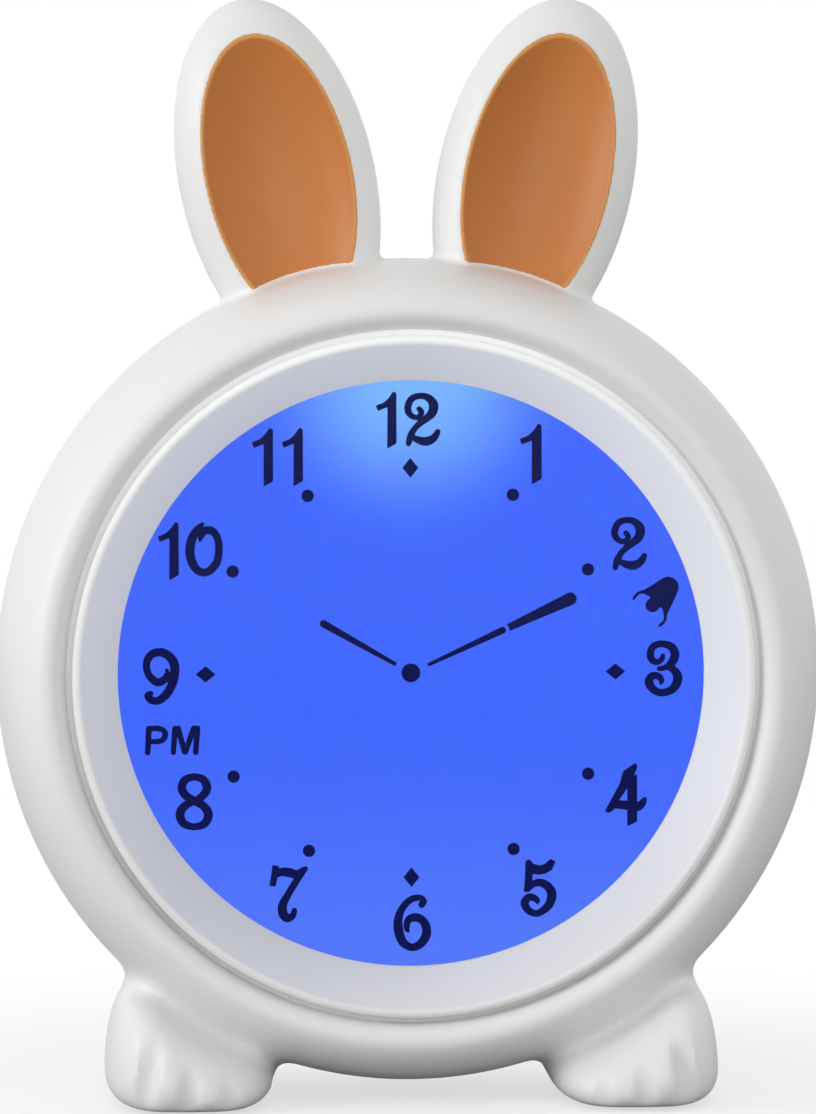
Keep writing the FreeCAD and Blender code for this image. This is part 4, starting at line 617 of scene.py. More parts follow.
def moulded(name, dark, light, roughness=0.42, grain=2600.0, bump=0.18):
    """A plastic with the fine grain of its mould."""
    material = finish_of(name, light, roughness)
    return textured(material, dark, light, grain, bump, roughness - 0.05, roughness + 0.08)


def pressed_metal(name, dark, light, roughness=0.3):
    """A sheet or wire metal."""
    material = finish_of(name, light, roughness, 1.0)
    return textured(material, dark, light, 900.0, 0.1, roughness - 0.08, roughness + 0.14)


def lit_display():
    """Blue light from behind: brightest near the top, paler towards the bottom."""
    material = finish_of("lit blue display", (0.0, 0.004, 0.03), 0.4)
    tree, shader = shader_of(material)
    fill(shader, {"Specular IOR Level": 0.02, "Emission Strength": 1.0})
    bottom = AXIS_HEIGHT - WINDOW_RADIUS
    bright_place = (0, PANEL_FRONT, AXIS_HEIGHT + 54 * MM)
    place = node(tree, "ShaderNodeTexCoord")
    height = node(tree, "ShaderNodeSeparateXYZ")
    rise = node(tree, "ShaderNodeMapRange", {"From Min": bottom, "From Max": AXIS_HEIGHT - 8 * MM},
                interpolation_type="SMOOTHSTEP")
    deep = node(tree, "ShaderNodeMix", {"A": (0.095, 0.195, 0.96, 1), "B": (0.058, 0.142, 0.99, 1)},
                data_type="RGBA")
    spot = node(tree, "ShaderNodeVectorMath", {1: bright_place}, operation="DISTANCE")
    near = node(tree, "ShaderNodeMapRange", {"From Min": 34 * MM, "From Max": 0.0},
                interpolation_type="SMOOTHERSTEP")
    glow = node(tree, "ShaderNodeMix", {"B": (0.21, 0.49, 1.0, 1)}, data_type="RGBA")
    mottle = node(tree, "ShaderNodeTexNoise", {"Scale": 160.0, "Detail": 2.0})
    shade = node(tree, "ShaderNodeMix", {"Factor": 0.06}, data_type="RGBA", blend_type="MULTIPLY")
    wire(tree, (place, "Object", height, "Vector"), (place, "Object", spot, 0),
         (place, "Object", mottle, "Vector"), (height, "Z", rise, "Value"),
         (spot, "Value", near, "Value"), (rise, "Result", deep, "Factor"),
         (deep, "Result", glow, "A"), (near, "Result", glow, "Factor"),
         (glow, "Result", shade, "A"), (mottle, "Color", shade, "B"),
         (shade, "Result", shader, "Emission Color"))
    return material


def dished_orange():
    """Deep orange that thins to a yellowish line along the edge of the dish."""
    material = moulded("satin orange plastic", (0.50, 0.156, 0.028), (0.61, 0.212, 0.040))
    tree, shader = shader_of(material)
    tint = shader.inputs["Base Color"].links[0].from_node
    edge = node(tree, "ShaderNodeAttribute", attribute_name="edge")
    line = node(tree, "ShaderNodeMix", {"B": (0.66, 0.31, 0.085, 1)}, data_type="RGBA")
    wire(tree, (tint, "Result", line, "A"), (edge, "Fac", line, "Factor"),
         (line, "Result", shader, "Base Color"))
    return material


def navy_ink():
    """Dark blue of the switched segments, with a little of the light behind them."""
    material = moulded("navy display segments", (0.001, 0.002, 0.02), (0.002, 0.003, 0.03), 0.5)
    fill(shader_of(material)[1], {"Specular IOR Level": 0.02, "Emission Strength": 1.0,
                                  "Emission Color": (0.003, 0.005, 0.055, 1)})
    return material


def clear_cover():
    """The window, nearly without reflection, so that no veil lies over the marks."""
    material = finish_of("clear window", (0.97, 0.98, 1.0), 0.02)
    tree, shader = shader_of(material)
    fill(shader, {"Transmission Weight": 1.0, "IOR": 1.08, "Specular IOR Level": 0.12})
    place = node(tree, "ShaderNodeTexCoord")
    smear = node(tree, "ShaderNodeTexNoise", {"Scale": 45.0, "Detail": 2.0})
    gloss = node(tree, "ShaderNodeMapRange", {"To Min": 0.0, "To Max": 0.05})
    wire(tree, (place, "Object", smear, "Vector"), (smear, "Fac", gloss, "Value"),
         (gloss, "Result", shader, "Roughness"))
    return material


def funnel_white_with_painted_glow():
    """White plastic with a painted glow: emission standing in for the display's light on the funnel,
    most of it at the top.
    """
    material = moulded("funnel white plastic with painted glow", (0.80, 0.80, 0.795), (0.84, 0.84, 0.83))
    tree, shader = shader_of(material)
    shader.inputs["Emission Color"].default_value = (0.93, 0.97, 1.0, 1)
    place = node(tree, "ShaderNodeTexCoord")
    height = node(tree, "ShaderNodeSeparateXYZ")
    # Painted glow: the emission grows from below the middle of the window up to its top edge.
    glow = node(tree, "ShaderNodeMapRange", {"From Min": AXIS_HEIGHT - 0.7 * WINDOW_RADIUS,
                                             "From Max": AXIS_HEIGHT + WINDOW_RADIUS,
                                             "To Max": 0.20})
    wire(tree, (place, "Object", height, "Vector"), (height, "Z", glow, "Value"),
         (glow, "Result", shader, "Emission Strength"))
    return material


FINISHES = {
    "white_plastic": moulded("satin white plastic", (0.80, 0.80, 0.795), (0.84, 0.84, 0.83)),
    "orange_plastic": dished_orange(),
    "clear_window": clear_cover(),
    "lit_display": lit_display(),
    "display_ink": navy_ink(),
    "black_foam": moulded("black foam", (0.01, 0.01, 0.01), (0.03, 0.03, 0.03), 0.9, 900.0, 0.6),
    "white_film": moulded("white film", (0.78, 0.78, 0.78), (0.85, 0.85, 0.85), 0.5),
    "clear_guide": moulded("frosted light guide", (0.72, 0.77, 0.82), (0.8, 0.85, 0.9), 0.25),
    "lamp_parts": moulded("lamp strip", (0.70, 0.68, 0.55), (0.85, 0.83, 0.7), 0.4),
    "inner_plastic": moulded("inner plastic", (0.55, 0.55, 0.54), (0.64, 0.64, 0.63), 0.5),
    "amber_film": moulded("amber ribbon", (0.45, 0.19, 0.03), (0.62, 0.30, 0.06), 0.35),
    "green_board": moulded("green board", (0.012, 0.11, 0.035), (0.02, 0.17, 0.06), 0.35, 1200.0, 0.3),
    "dark_components": moulded("dark components", (0.02, 0.02, 0.022), (0.05, 0.05, 0.055), 0.5),
    "plated_steel": pressed_metal("plated steel", (0.50, 0.49, 0.47), (0.66, 0.65, 0.62)),
    "stamped_steel": pressed_metal("stamped steel", (0.42, 0.42, 0.41), (0.56, 0.56, 0.55), 0.38),
    "black_plastic": moulded("black plastic", (0.012, 0.012, 0.013), (0.028, 0.028, 0.03), 0.4),
    "button_plastic": moulded("grey button plastic", (0.42, 0.43, 0.45), (0.50, 0.51, 0.53), 0.38),
    "magnet": moulded("dark magnet", (0.05, 0.05, 0.055), (0.09, 0.09, 0.095), 0.5, 700.0, 0.4),
    "cone_paper": moulded("cone paper", (0.02, 0.02, 0.02), (0.06, 0.055, 0.05), 0.85, 900.0, 0.8),
    "spring_steel": pressed_metal("spring steel", (0.55, 0.53, 0.50), (0.70, 0.68, 0.64), 0.25),
    "pad_rubber": moulded("pad rubber", (0.05, 0.05, 0.05), (0.09, 0.09, 0.09), 0.8, 1500.0, 0.6),
}


def fit(obj, finish, body, *stands_for):
    """Gives a finished piece its material and body, and hides the CAD nodes that it stands for."""
    obj.data.materials.clear()
    obj.data.materials.append(FINISHES[finish])
    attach(obj, body)
    if stands_for:
        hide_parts(*stands_for)
    return obj


# Every CAD node takes its finish from the record.

for part in frame["record"]["subparts"]:
    materials = NODES[part["node"]].data.materials
    materials.clear()
    materials.append(FINISHES[part["material_slot"]])

# Shells and inlays.

INLAY_STEP = 0.4 * MM
INLAY_SIDE = 24 * MM
INLAY_FRONT = -18 * MM
INLAY_TOP = 200 * MM
EDGE_LINE = 0.4 * MM

fit(smooth(finished("front_moulding", front_shell())), "white_plastic", "housing", "front_shell")
rear = finished("rear_moulding", rear_shell())
fit(smooth(rear), "white_plastic", "housing", "rear_shell")
for side_name, side in SIDES.items():
    middle = side * EAR_CENTRE.x
    grid = (np.arange(middle - INLAY_SIDE, middle + INLAY_SIDE, INLAY_STEP),
            np.arange(INLAY_FRONT, 0, INLAY_STEP), np.arange(EAR_LOW, INLAY_TOP, INLAY_STEP))
    points, quads = surface_of(inlay(side), grid)
    panel = smooth(mesh_piece("ear_panel_" + side_name, points, quads))
    reach = turned_ellipsoid(*points.T, side, EAR_CENTRE, EAR_AXES)
    edge = panel.data.attributes.new("edge", "FLOAT", "POINT")
    edge.data.foreach_set("value", np.clip(1 + (reach - INLAY_PROUD) / EDGE_LINE, 0, 1))
    fit(panel, "orange_plastic", "housing", "ear_inlay_" + side_name)


# Funnel round the display.

def dial_funnel():
    """The funnel with its rolled edge, the wall of the groove, the flange and the skirt."""
    crest = PARTING - RING_DEPTH
    lip = crest + 11.6 * MM
    window_front = lip + 0.9 * MM
    inner = 53.1 * MM
    outer = 60.4 * MM
    groove = outer + 1 * MM
    rim = crest + RIM_DEPTH
    flange = 65.6 * MM
    thickness = 2 * MM
    skirt = 57.1 * MM
    skirt_end = -10.6 * MM
    profile = [(inner, lip), (outer - 0.3 * MM, crest + 1.5 * MM), (groove, crest + 1.9 * MM),
               (groove, rim), (flange, rim), (flange, rim + thickness),
               (skirt + thickness, rim + thickness), (skirt + thickness, skirt_end),
               (skirt, skirt_end), (skirt, window_front), (inner, window_front)]
    radii = [0.7, 1.6, 0.7, 0.3, 0.2, 0.2, 0.3, 0.2, 0.2, 0, 0.3]
    return turned("dial_funnel", rounded(profile, [radius * MM for radius in radii]), 256)


funnel = fit(smooth(dial_funnel()), "white_plastic", "housing", "dial_bezel")
# The funnel's white plastic carries a painted glow from the display.
funnel.data.materials[0] = funnel_white_with_painted_glow()


# Display segments, drawn in the plane of the display.

GLYPH_UNIT = 0.0202 * MM
SEGMENT_THICKNESS = 0.2 * MM
SEGMENT_BACK = PANEL_FRONT
SEGMENT_FRONT = PANEL_FRONT - SEGMENT_THICKNESS

# Strokes of the curled numerals: across, up and half width, from the middle of each numeral.
CURL_OF_TWO = [(-19, 92, 24), (3, 62, 25), (-22, 19, 25), (-72, 21, 25), (-114, 62, 30),
               (-117, 122, 32), (-82, 185, 30), (-7, 209, 28), (68, 187, 34), (111, 127, 42),
               (98, 57, 40), (48, 7, 33), (-12, -38, 29), (-65, -93, 27), (-97, -153, 31),
               (-115, -218, 25)]
BASE_OF_TWO = [(-72, -165, 25), (-7, -193, 36), (53, -198, 40), (113, -168, 34), (148, -113, 25)]
TOP_OF_THREE = [(3, 115, 20), (-10, 80, 24), (-50, 57, 27), (-95, 77, 32), (-110, 125, 34),
                (-95, 185, 31), (-45, 217, 31), (20, 218, 32), (83, 190, 38), (112, 127, 40),
                (90, 60, 38), (35, 12, 27), (-30, -3, 22)]
BOWL_OF_THREE = [(60, 15, 30), (118, -35, 38), (137, -95, 42), (105, -173, 38), (35, -213, 34),
                 (-30, -217, 34), (-90, -183, 36), (-123, -125, 39), (-100, -70, 33),
                 (-45, -68, 32), (-8, -103, 24), (-15, -128, 18)]
BAR_OF_FOUR = [(-147, -103, 28), (-82, -98, 38), (-4, -106, 42), (77, -118, 42), (123, -93, 34),
               (148, -53, 22)]
BOWL_OF_FIVE = [(-112, -3, 26), (-82, 32, 28), (-17, 56, 34), (48, 35, 38), (95, -23, 42),
                (99, -88, 42), (63, -163, 37), (-27, -223, 30), (-107, -198, 33),
                (-144, -133, 37), (-117, -83, 34), (-72, -78, 32), (-32, -103, 26),
                (-29, -121, 18)]
STROKE_OF_SIX = [(91, 162, 30), (113, 197, 26), (75, 224, 27), (8, 215, 30), (-52, 172, 31),
                 (-97, 107, 33), (-119, 37, 38), (-122, -33, 42), (-107, -113, 42),
                 (-72, -183, 39), (3, -223, 34), (78, -193, 38), (128, -123, 41), (133, -48, 40),
                 (100, 17, 38), (43, 47, 38), (-17, 35, 34), (-42, -8, 30), (-42, -58, 24),
                 (-28, -78, 12)]
BAR_OF_SEVEN = [(-102, 179, 32), (-52, 197, 38), (13, 189, 42), (78, 175, 36), (133, 207, 30),
                (158, 225, 20)]
STEM_OF_SEVEN = [(150, 217, 24), (83, 129, 31), (-2, -9, 32), (-50, -103, 40), (-47, -180, 42),
                 (-10, -220, 38), (38, -200, 30), (55, -153, 25)]
STROKE_OF_EIGHT = [(3, 230, 32), (-75, 205, 36), (-110, 132, 38), (-75, 62, 38), (3, 12, 36),
                   (85, -35, 38), (128, -110, 40), (95, -190, 37), (3, -221, 31),
                   (-92, -190, 37), (-127, -108, 40), (-85, -35, 37), (3, 10, 30), (80, 60, 36),
                   (117, 132, 39), (80, 205, 36), (3, 230, 32)]
STROKE_OF_NINE = [(48, 62, 14), (52, 27, 24), (28, -23, 34), (-32, -48, 36), (-97, -3, 34),
                  (-131, 72, 32), (-125, 147, 34), (-82, 205, 36), (-7, 222, 38), (68, 187, 40),
                  (115, 117, 42), (118, 27, 42), (93, -73, 40), (43, -158, 38), (-27, -212, 35),
                  (-90, -208, 34), (-122, -170, 32), (-98, -150, 26)]
STROKE_OF_NOUGHT = [(75, 97, 16), (85, 135, 28), (118, 180, 36), (185, 175, 36), (233, 107, 34),
                    (243, 7, 34), (223, -103, 36), (168, -172, 36), (108, -195, 36),
                    (48, -172, 37), (3, -103, 40), (-17, -3, 42), (3, 107, 40), (48, 187, 34),
                    (98, 240, 16)]
# Straight-edged parts of the numerals, as corners.
OUTLINE_OF_ONE = [(54, 266), (81, 251), (81, -222), (0, -268), (3, 126), (-91, 89), (-106, 135),
                  (-42, 156), (9, 199), (38, 239)]
SLOPE_OF_FOUR = [(63, 272), (80, 252), (75, 225), (43, 155), (-7, 57), (-89, -61), (-132, -141),
                 (-175, -169), (-205, -155), (-152, -58), (-69, 97), (-47, 187), (-35, 205)]
STEM_OF_FOUR = [(77, 169), (77, -250), (-4, -288), (-4, 97), (45, 157)]
TOP_OF_FIVE = [(-132, 247), (-102, 262), (-62, 221), (-7, 204), (43, 221), (91, 264), (131, 240),
               (98, 172), (43, 139), (-17, 129), (-73, 139), (-81, 35), (-117, -28), (-147, -21),
               (-137, 97)]
SERIF_OF_SEVEN = [(-137, 255), (-85, 247), (-99, 147), (-117, 69), (-166, 75), (-147, 177)]

# Each digit: its strokes and its outlines.
DIGITS = {
    "1": ([], [OUTLINE_OF_ONE]),
    "2": ([CURL_OF_TWO, BASE_OF_TWO], []),
    "3": ([TOP_OF_THREE, BOWL_OF_THREE], []),
    "4": ([BAR_OF_FOUR], [SLOPE_OF_FOUR, STEM_OF_FOUR]),
    "5": ([BOWL_OF_FIVE], [TOP_OF_FIVE]),
    "6": ([STROKE_OF_SIX], []),
    "7": ([BAR_OF_SEVEN, STEM_OF_SEVEN], [SERIF_OF_SEVEN]),
    "8": ([STROKE_OF_EIGHT], []),
    "9": ([STROKE_OF_NINE], []),
    "0": ([STROKE_OF_NOUGHT], []),
}
# Where each digit stands on the display, in millimetres from the middle, and its height.
NUMERALS = [("1", 22.1, 39.6, 1.0), ("2", 39.5, 23.3, 1.0), ("3", 45.8, 0.5, 1.0),
            ("4", 39.5, -22.3, 1.0), ("5", 23.5, -39.5, 1.0), ("6", 0.0, -45.5, 1.0),
            ("7", -22.4, -40.0, 1.0), ("8", -39.4, -23.2, 1.0), ("9", -45.2, -0.4, 1.0),
            ("1", -43.6, 22.4, 0.96), ("0", -39.6, 22.4, 1.0),
            ("1", -26.5, 39.3, 0.965), ("1", -21.1, 39.3, 0.965),
            ("1", -4.1, 45.9, 0.94), ("2", 2.0, 46.0, 1.0)]


def curve_through(points, spans=8):
    """Points along a smooth curve through given points, their half widths with them."""
    knots = np.array([points[0], *points, points[-1]], float)
    out = []
    for index in range(1, len(knots) - 2):
        before, start, end, after = knots[index - 1:index + 3]
        for step in range(spans):
            t = step / spans
            out.append(0.5 * (2 * start + (end - before) * t
                              + (2 * before - 5 * start + 4 * end - after) * t ** 2
                              + (3 * start - before - 3 * end + after) * t ** 3))
    out.append(knots[-2])
    return np.array(out)


def stroke_field(x, z, points):
    """Distance to a stroke of changing width in one plane."""
    line = curve_through(points)
    nearest = np.full(np.shape(x), np.inf)
    for (ax, az, aw), (bx, bz, bw) in zip(line[:-1], line[1:]):
        run = np.array((bx - ax, bz - az))
        length = max(run @ run, TINY ** 2)
        share = np.clip(((x - ax) * run[0] + (z - az) * run[1]) / length, 0, 1)
        reach = np.hypot(x - ax - share * run[0], z - az - share * run[1])
        nearest = np.minimum(nearest, reach - aw - share * (bw - aw))
    return nearest


def outline_field(x, z, corners):
    """Distance to a polygon in one plane, negative inside."""
    nearest = np.full(np.shape(x), np.inf)
    inside = np.zeros(np.shape(x), bool)
    for (ax, az), (bx, bz) in zip(corners, corners[1:] + corners[:1]):
        run = np.array((bx - ax, bz - az), float)
        share = np.clip(((x - ax) * run[0] + (z - az) * run[1]) / (run @ run), 0, 1)
        nearest = np.minimum(nearest, np.hypot(x - ax - share * run[0], z - az - share * run[1]))
        if az != bz:
            crosses = ((az > z) != (bz > z)) & (x < ax + (z - az) * (bx - ax) / (bz - az))
            inside ^= crosses
    return np.where(inside, -nearest, nearest)


def flat_marks(field, low, high, step):
    """A flat field as quads: one point in each square, pulled to the edge where it crosses."""
    across = np.arange(low[0], high[0] + step, step)
    up = np.arange(low[1], high[1] + step, step)
    values = field(across[:, None] + 0 * up[None, :], 0 * across[:, None] + up[None, :])
    inside = values < 0
    touched = inside[:-1, :-1] | inside[1:, :-1] | inside[:-1, 1:] | inside[1:, 1:]
    whole = inside[:-1, :-1] & inside[1:, :-1] & inside[:-1, 1:] & inside[1:, 1:]
    number = np.full(touched.shape, -1)
    number[touched] = np.arange(touched.sum())
    spots = np.argwhere(touched)
    points = np.array((across[0], up[0])) + (spots + 0.5) * step
    at_edge = ~whole[touched]
    edge = points[at_edge]
    reach = 0.1 * step
    least_slope = 0.2
    for turn in range(4):
        value = field(edge[:, 0], edge[:, 1])
        slope_x = (field(edge[:, 0] + reach, edge[:, 1])
                   - field(edge[:, 0] - reach, edge[:, 1])) / (2 * reach)
        slope_z = (field(edge[:, 0], edge[:, 1] + reach)
                   - field(edge[:, 0], edge[:, 1] - reach)) / (2 * reach)
        size = np.maximum(slope_x ** 2 + slope_z ** 2, least_slope)
        move = np.stack((-slope_x * value / size, -slope_z * value / size), 1)
        edge = edge + np.clip(move, -0.5 * step, 0.5 * step)
    points[at_edge] = edge
    corners = np.argwhere(inside)
    quads = np.stack([number[tuple((corners + shift).T)]
                      for shift in ((-1, -1), (0, -1), (0, 0), (-1, 0))], 1)
    return points, quads


def printed(bm, field, low, high, step):
    """Adds a flat mark to a mesh, as thick as the display's segments."""
    points, quads = flat_marks(field, low, high, step)
    front = [bm.verts.new((x, SEGMENT_FRONT, z)) for x, z in points]
    back = [bm.verts.new((x, SEGMENT_BACK, z)) for x, z in points]
    sides = {}
    for quad in quads:
        bm.faces.new([front[index] for index in quad])
        bm.faces.new([back[index] for index in quad[::-1]])
        for one, two in zip(quad, np.roll(quad, -1)):
            if (two, one) in sides:
                del sides[(two, one)]
            else:
                sides[(one, two)] = True
    for one, two in sides:
        bm.faces.new((front[two], front[one], back[one], back[two]))


def print_sign(bm, shapes, place, unit, swell, reach, step):
    """Adds one sign, given in units of its own as strokes, swollen outlines and full circles."""
    strokes, outlines, rounds = shapes
    across = place[0] * MM
    up = AXIS_HEIGHT + place[1] * MM

    def field(x, z):
        left = (x - across) / unit
        rise = (z - up) / unit
        parts = [stroke_field(left, rise, stroke) for stroke in strokes]
        parts += [outline_field(left, rise, corners) - swell for corners in outlines]
        parts += [np.hypot(left - x0, rise - z0) - radius for x0, z0, radius in rounds]
        return np.minimum.reduce(parts) * unit

    printed(bm, field, (across - reach, up - reach), (across + reach, up + reach), step)


NUMERAL_SWELL = 4
NUMERAL_REACH = 6.5 * MM
NUMERAL_STEP = 0.14 * MM
SIGN_SWELL = 6
SIGN_STEP = 0.12 * MM


def hour_numerals():
    """The numbers of the twelve hours as one flat piece."""
    bm = bmesh.new()
    for digit, across, up, scale in NUMERALS:
        print_sign(bm, (*DIGITS[digit], []), (across, up), GLYPH_UNIT * scale, NUMERAL_SWELL,
                   NUMERAL_REACH, NUMERAL_STEP)
    return finished("hour_numerals", bm)


def sign_piece(name, shapes, place, unit, reach):
    """One small sign of the display as a flat piece."""
    bm = bmesh.new()
    print_sign(bm, shapes, place, unit, SIGN_SWELL, reach, SIGN_STEP)
    return finished(name, bm)


fit(hour_numerals(), "display_ink", "housing", "lcd_segments")

AFTERNOON_STROKES = [[(-257, -125, 30), (-243, 130, 31)],
                     [(-240, 131, 30), (-150, 133, 30), (-88, 112, 30), (-68, 65, 31),
                      (-92, 12, 29), (-150, -8, 28), (-225, -8, 27)],
                     [(17, -125, 28), (38, 130, 32)],
                     [(70, 132, 31), (138, -120, 30)],
                     [(146, -120, 30), (238, 132, 31)],
                     [(276, 130, 32), (257, -125, 30)]]
fit(sign_piece("afternoon_sign", (AFTERNOON_STROKES, [], []), (-43.4, -12.0), MM / 59.2,
               6.5 * MM), "display_ink", "housing")

BELL_STROKES = [[(-278, 55, 17), (-240, 105, 17), (-205, 130, 17), (-150, 140, 22), (-90, 150, 26)],
                [(50, -288, 17), (95, -250, 18), (118, -210, 18), (122, -160, 20), (118, -100, 26)]]
BELL_DOME = [(-150, 155), (-45, 215), (65, 285), (120, 315), (155, 323), (225, 303), (277, 245),
             (285, 180), (250, 90), (205, -5), (160, -100), (130, -150), (105, -125), (80, -55),
             (55, -50), (-40, -30), (-65, 75), (-110, 105), (-150, 118)]
BELL_CLAPPER = [(-40, -30, 88)]
fit(sign_piece("alarm_sign", (BELL_STROKES, [BELL_DOME], BELL_CLAPPER), (44.55, 12.45),
               MM / 69.06, 6 * MM), "display_ink", "housing")


# Hands, hub and hour marks.

HOUR_HAND = 150.3
MINUTE_HAND = 24.6
HUB_RADIUS = 1.7 * MM
# Parts of the hands: direction, start, end and half widths there in mm, and a hollowed start or not.
HAND_PARTS = [(HOUR_HAND, 3.1, 18.2, 0.35, 0.7, False), (MINUTE_HAND, 3.4, 18.3, 0.3, 0.64, False),
              (MINUTE_HAND, 19.3, 31.9, 0.64, 1.16, True)]
HOLLOW_RADIUS = 0.85 * MM
HOLLOW_SHIFT = 0.55 * MM
HAND_STEP = 0.15 * MM


def hands():
    """Hub, hour hand and the two parts of the minute hand, with a crescent gap between them."""
    def field(x, z):
        up = z - AXIS_HEIGHT
        parts = [np.hypot(x, up) - HUB_RADIUS]
        for degrees, *lengths, hollowed in HAND_PARTS:
            start, end, thin, thick = (length * MM for length in lengths)
            angle = math.radians(degrees)
            along = x * math.cos(angle) + up * math.sin(angle)
            aside = -x * math.sin(angle) + up * math.cos(angle)
            share = np.clip((along - start) / (end - start), 0, 1)
            bar = np.hypot(aside, along - np.clip(along, start, end)) - thin - share * (thick - thin)
            hollow = np.hypot(along - start + HOLLOW_SHIFT, aside) - HOLLOW_RADIUS
            parts.append(np.maximum(bar, -hollow if hollowed else start - along))
        return np.minimum.reduce(parts)

    bm = bmesh.new()
    printed(bm, field, (-20 * MM, AXIS_HEIGHT - 4 * MM), (34 * MM, AXIS_HEIGHT + 18 * MM), HAND_STEP)
    return finished("dial_hands", bm)


fit(hands(), "display_ink", "housing")


MARK_SIZES = {"Ring radius": 37.2 * MM, "Dot radius": 1.12 * MM, "Diamond reach": 1.8 * MM,
              "Diamond half width": 1.45 * MM, "Mark thickness": SEGMENT_THICKNESS}


def marks_tree():
    """Marks on a ring: round dots, with a diamond at every third place."""
    tree = bpy.data.node_groups.new("hour marks on a ring", "GeometryNodeTree")
    new_socket = tree.interface.new_socket
    for name, value in MARK_SIZES.items():
        new_socket(name, in_out="INPUT", socket_type="NodeSocketFloat").default_value = value
    finish = new_socket("Finish", in_out="INPUT", socket_type="NodeSocketMaterial")
    new_socket("Geometry", in_out="OUTPUT", socket_type="NodeSocketGeometry")
    inputs = node(tree, "NodeGroupInput")
    outputs = node(tree, "NodeGroupOutput")
    ring = node(tree, "GeometryNodeMeshCircle", {"Vertices": 12})
    place = node(tree, "GeometryNodeInputPosition")
    outward = node(tree, "FunctionNodeAlignEulerToVector", axis="X")
    index = node(tree, "GeometryNodeInputIndex")
    remainder = node(tree, "ShaderNodeMath", {1: 3}, operation="MODULO")
    at_third = node(tree, "FunctionNodeCompare", data_type="INT", operation="EQUAL")
    elsewhere = node(tree, "FunctionNodeBooleanMath", operation="NOT")
    results = node(tree, "GeometryNodeJoinGeometry")
    realize = node(tree, "GeometryNodeRealizeInstances")
    paint = node(tree, "GeometryNodeSetMaterial")
    wire(tree, (inputs, "Ring radius", ring, "Radius"), (place, "Position", outward, "Vector"),
         (index, "Index", remainder, 0), (remainder, 0, at_third, 2), (at_third, 0, elsewhere, 0))
    for vertices, chosen in ((36, elsewhere), (4, at_third)):
        shape = node(tree, "GeometryNodeMeshCylinder", {"Vertices": vertices, "Radius": 1.0})
        spread = node(tree, "GeometryNodeInstanceOnPoints")
        wire(tree, (inputs, "Mark thickness", shape, "Depth"), (ring, "Mesh", spread, "Points"),
             (shape, "Mesh", spread, "Instance"), (chosen, 0, spread, "Selection"),
             (outward, "Rotation", spread, "Rotation"), (spread, "Instances", results, 0))
        if chosen is elsewhere:
            wire(tree, (inputs, "Dot radius", shape, "Radius"))
        else:
            size = node(tree, "ShaderNodeCombineXYZ", {"Z": 1.0})
            wire(tree, (inputs, "Diamond reach", size, "X"),
                 (inputs, "Diamond half width", size, "Y"), (size, 0, spread, "Scale"))
    wire(tree, (results, 0, realize, 0), (realize, 0, paint, "Geometry"),
         (inputs, "Finish", paint, "Material"), (paint, 0, outputs, "Geometry"))
    return tree, finish.identifier


def hour_marks():
    """The ring of marks lies in the XY plane of its tree and is stood up into the display."""
    tree, finish_input = marks_tree()
    holder = mesh_piece("hour_marks_holder", [], [])
    modifier = holder.modifiers.new("marks", "NODES")
    modifier.node_group = tree
    modifier[finish_input] = FINISHES["display_ink"]
    graph = bpy.context.evaluated_depsgraph_get()
    mesh = bpy.data.meshes.new_from_object(holder.evaluated_get(graph))
    bpy.data.objects.remove(holder)
    mesh.transform(Matrix.Rotation(math.radians(90), 4, "X"))
    mesh.transform(Matrix.Translation((0, (SEGMENT_FRONT + SEGMENT_BACK) / 2, AXIS_HEIGHT)))
    return placed("hour_marks", mesh)


fit(hour_marks(), "display_ink", "housing")

# Openings of the back.

CAP_RADIUS = 4.3 * MM
CAP_GAP = 0.25 * MM
BUTTON_TURNS = {"button_time_set": 25, "button_up": 43, "button_down": 61, "light_button": 90,
                "button_alarm_one": 119, "button_alarm_two": 137, "button_volume": 155}
LIGHT_HALF = 9 * MM
OPENING_BEVEL = 0.3 * MM
OPENING_REACH = 4 * MM
SIDE_OPENING_RISE = 2 * MM
JACK_RADIUS = 4.25 * MM
SLOT_HALF_WIDTH = 1.45 * MM
SLOT_HALF_HEIGHT = 3.45 * MM
SLOT_CORNER = 0.3 * MM
GRILLE_RISE = 17 * MM
GRILLE_HOLE = 1.1 * MM
GRILLE_SPACING = 4.2 * MM
DOOR_LOW = 22.5 * MM
DOOR_HIGH = 75.5 * MM
DOOR_HALF_WIDTH = 31.25 * MM
DOOR_CORNER = 6.25 * MM


def opening(place, half_width, half_height, corner, steps=8):
    """A cutting tool with a small bevel where it leaves the back."""
    levels = [(0, BACK - OPENING_REACH), (0, BACK - OPENING_BEVEL),
              (-2 * OPENING_BEVEL, BACK + OPENING_BEVEL)]
    return pressed("opening", place, half_width, half_height, corner, levels, steps)


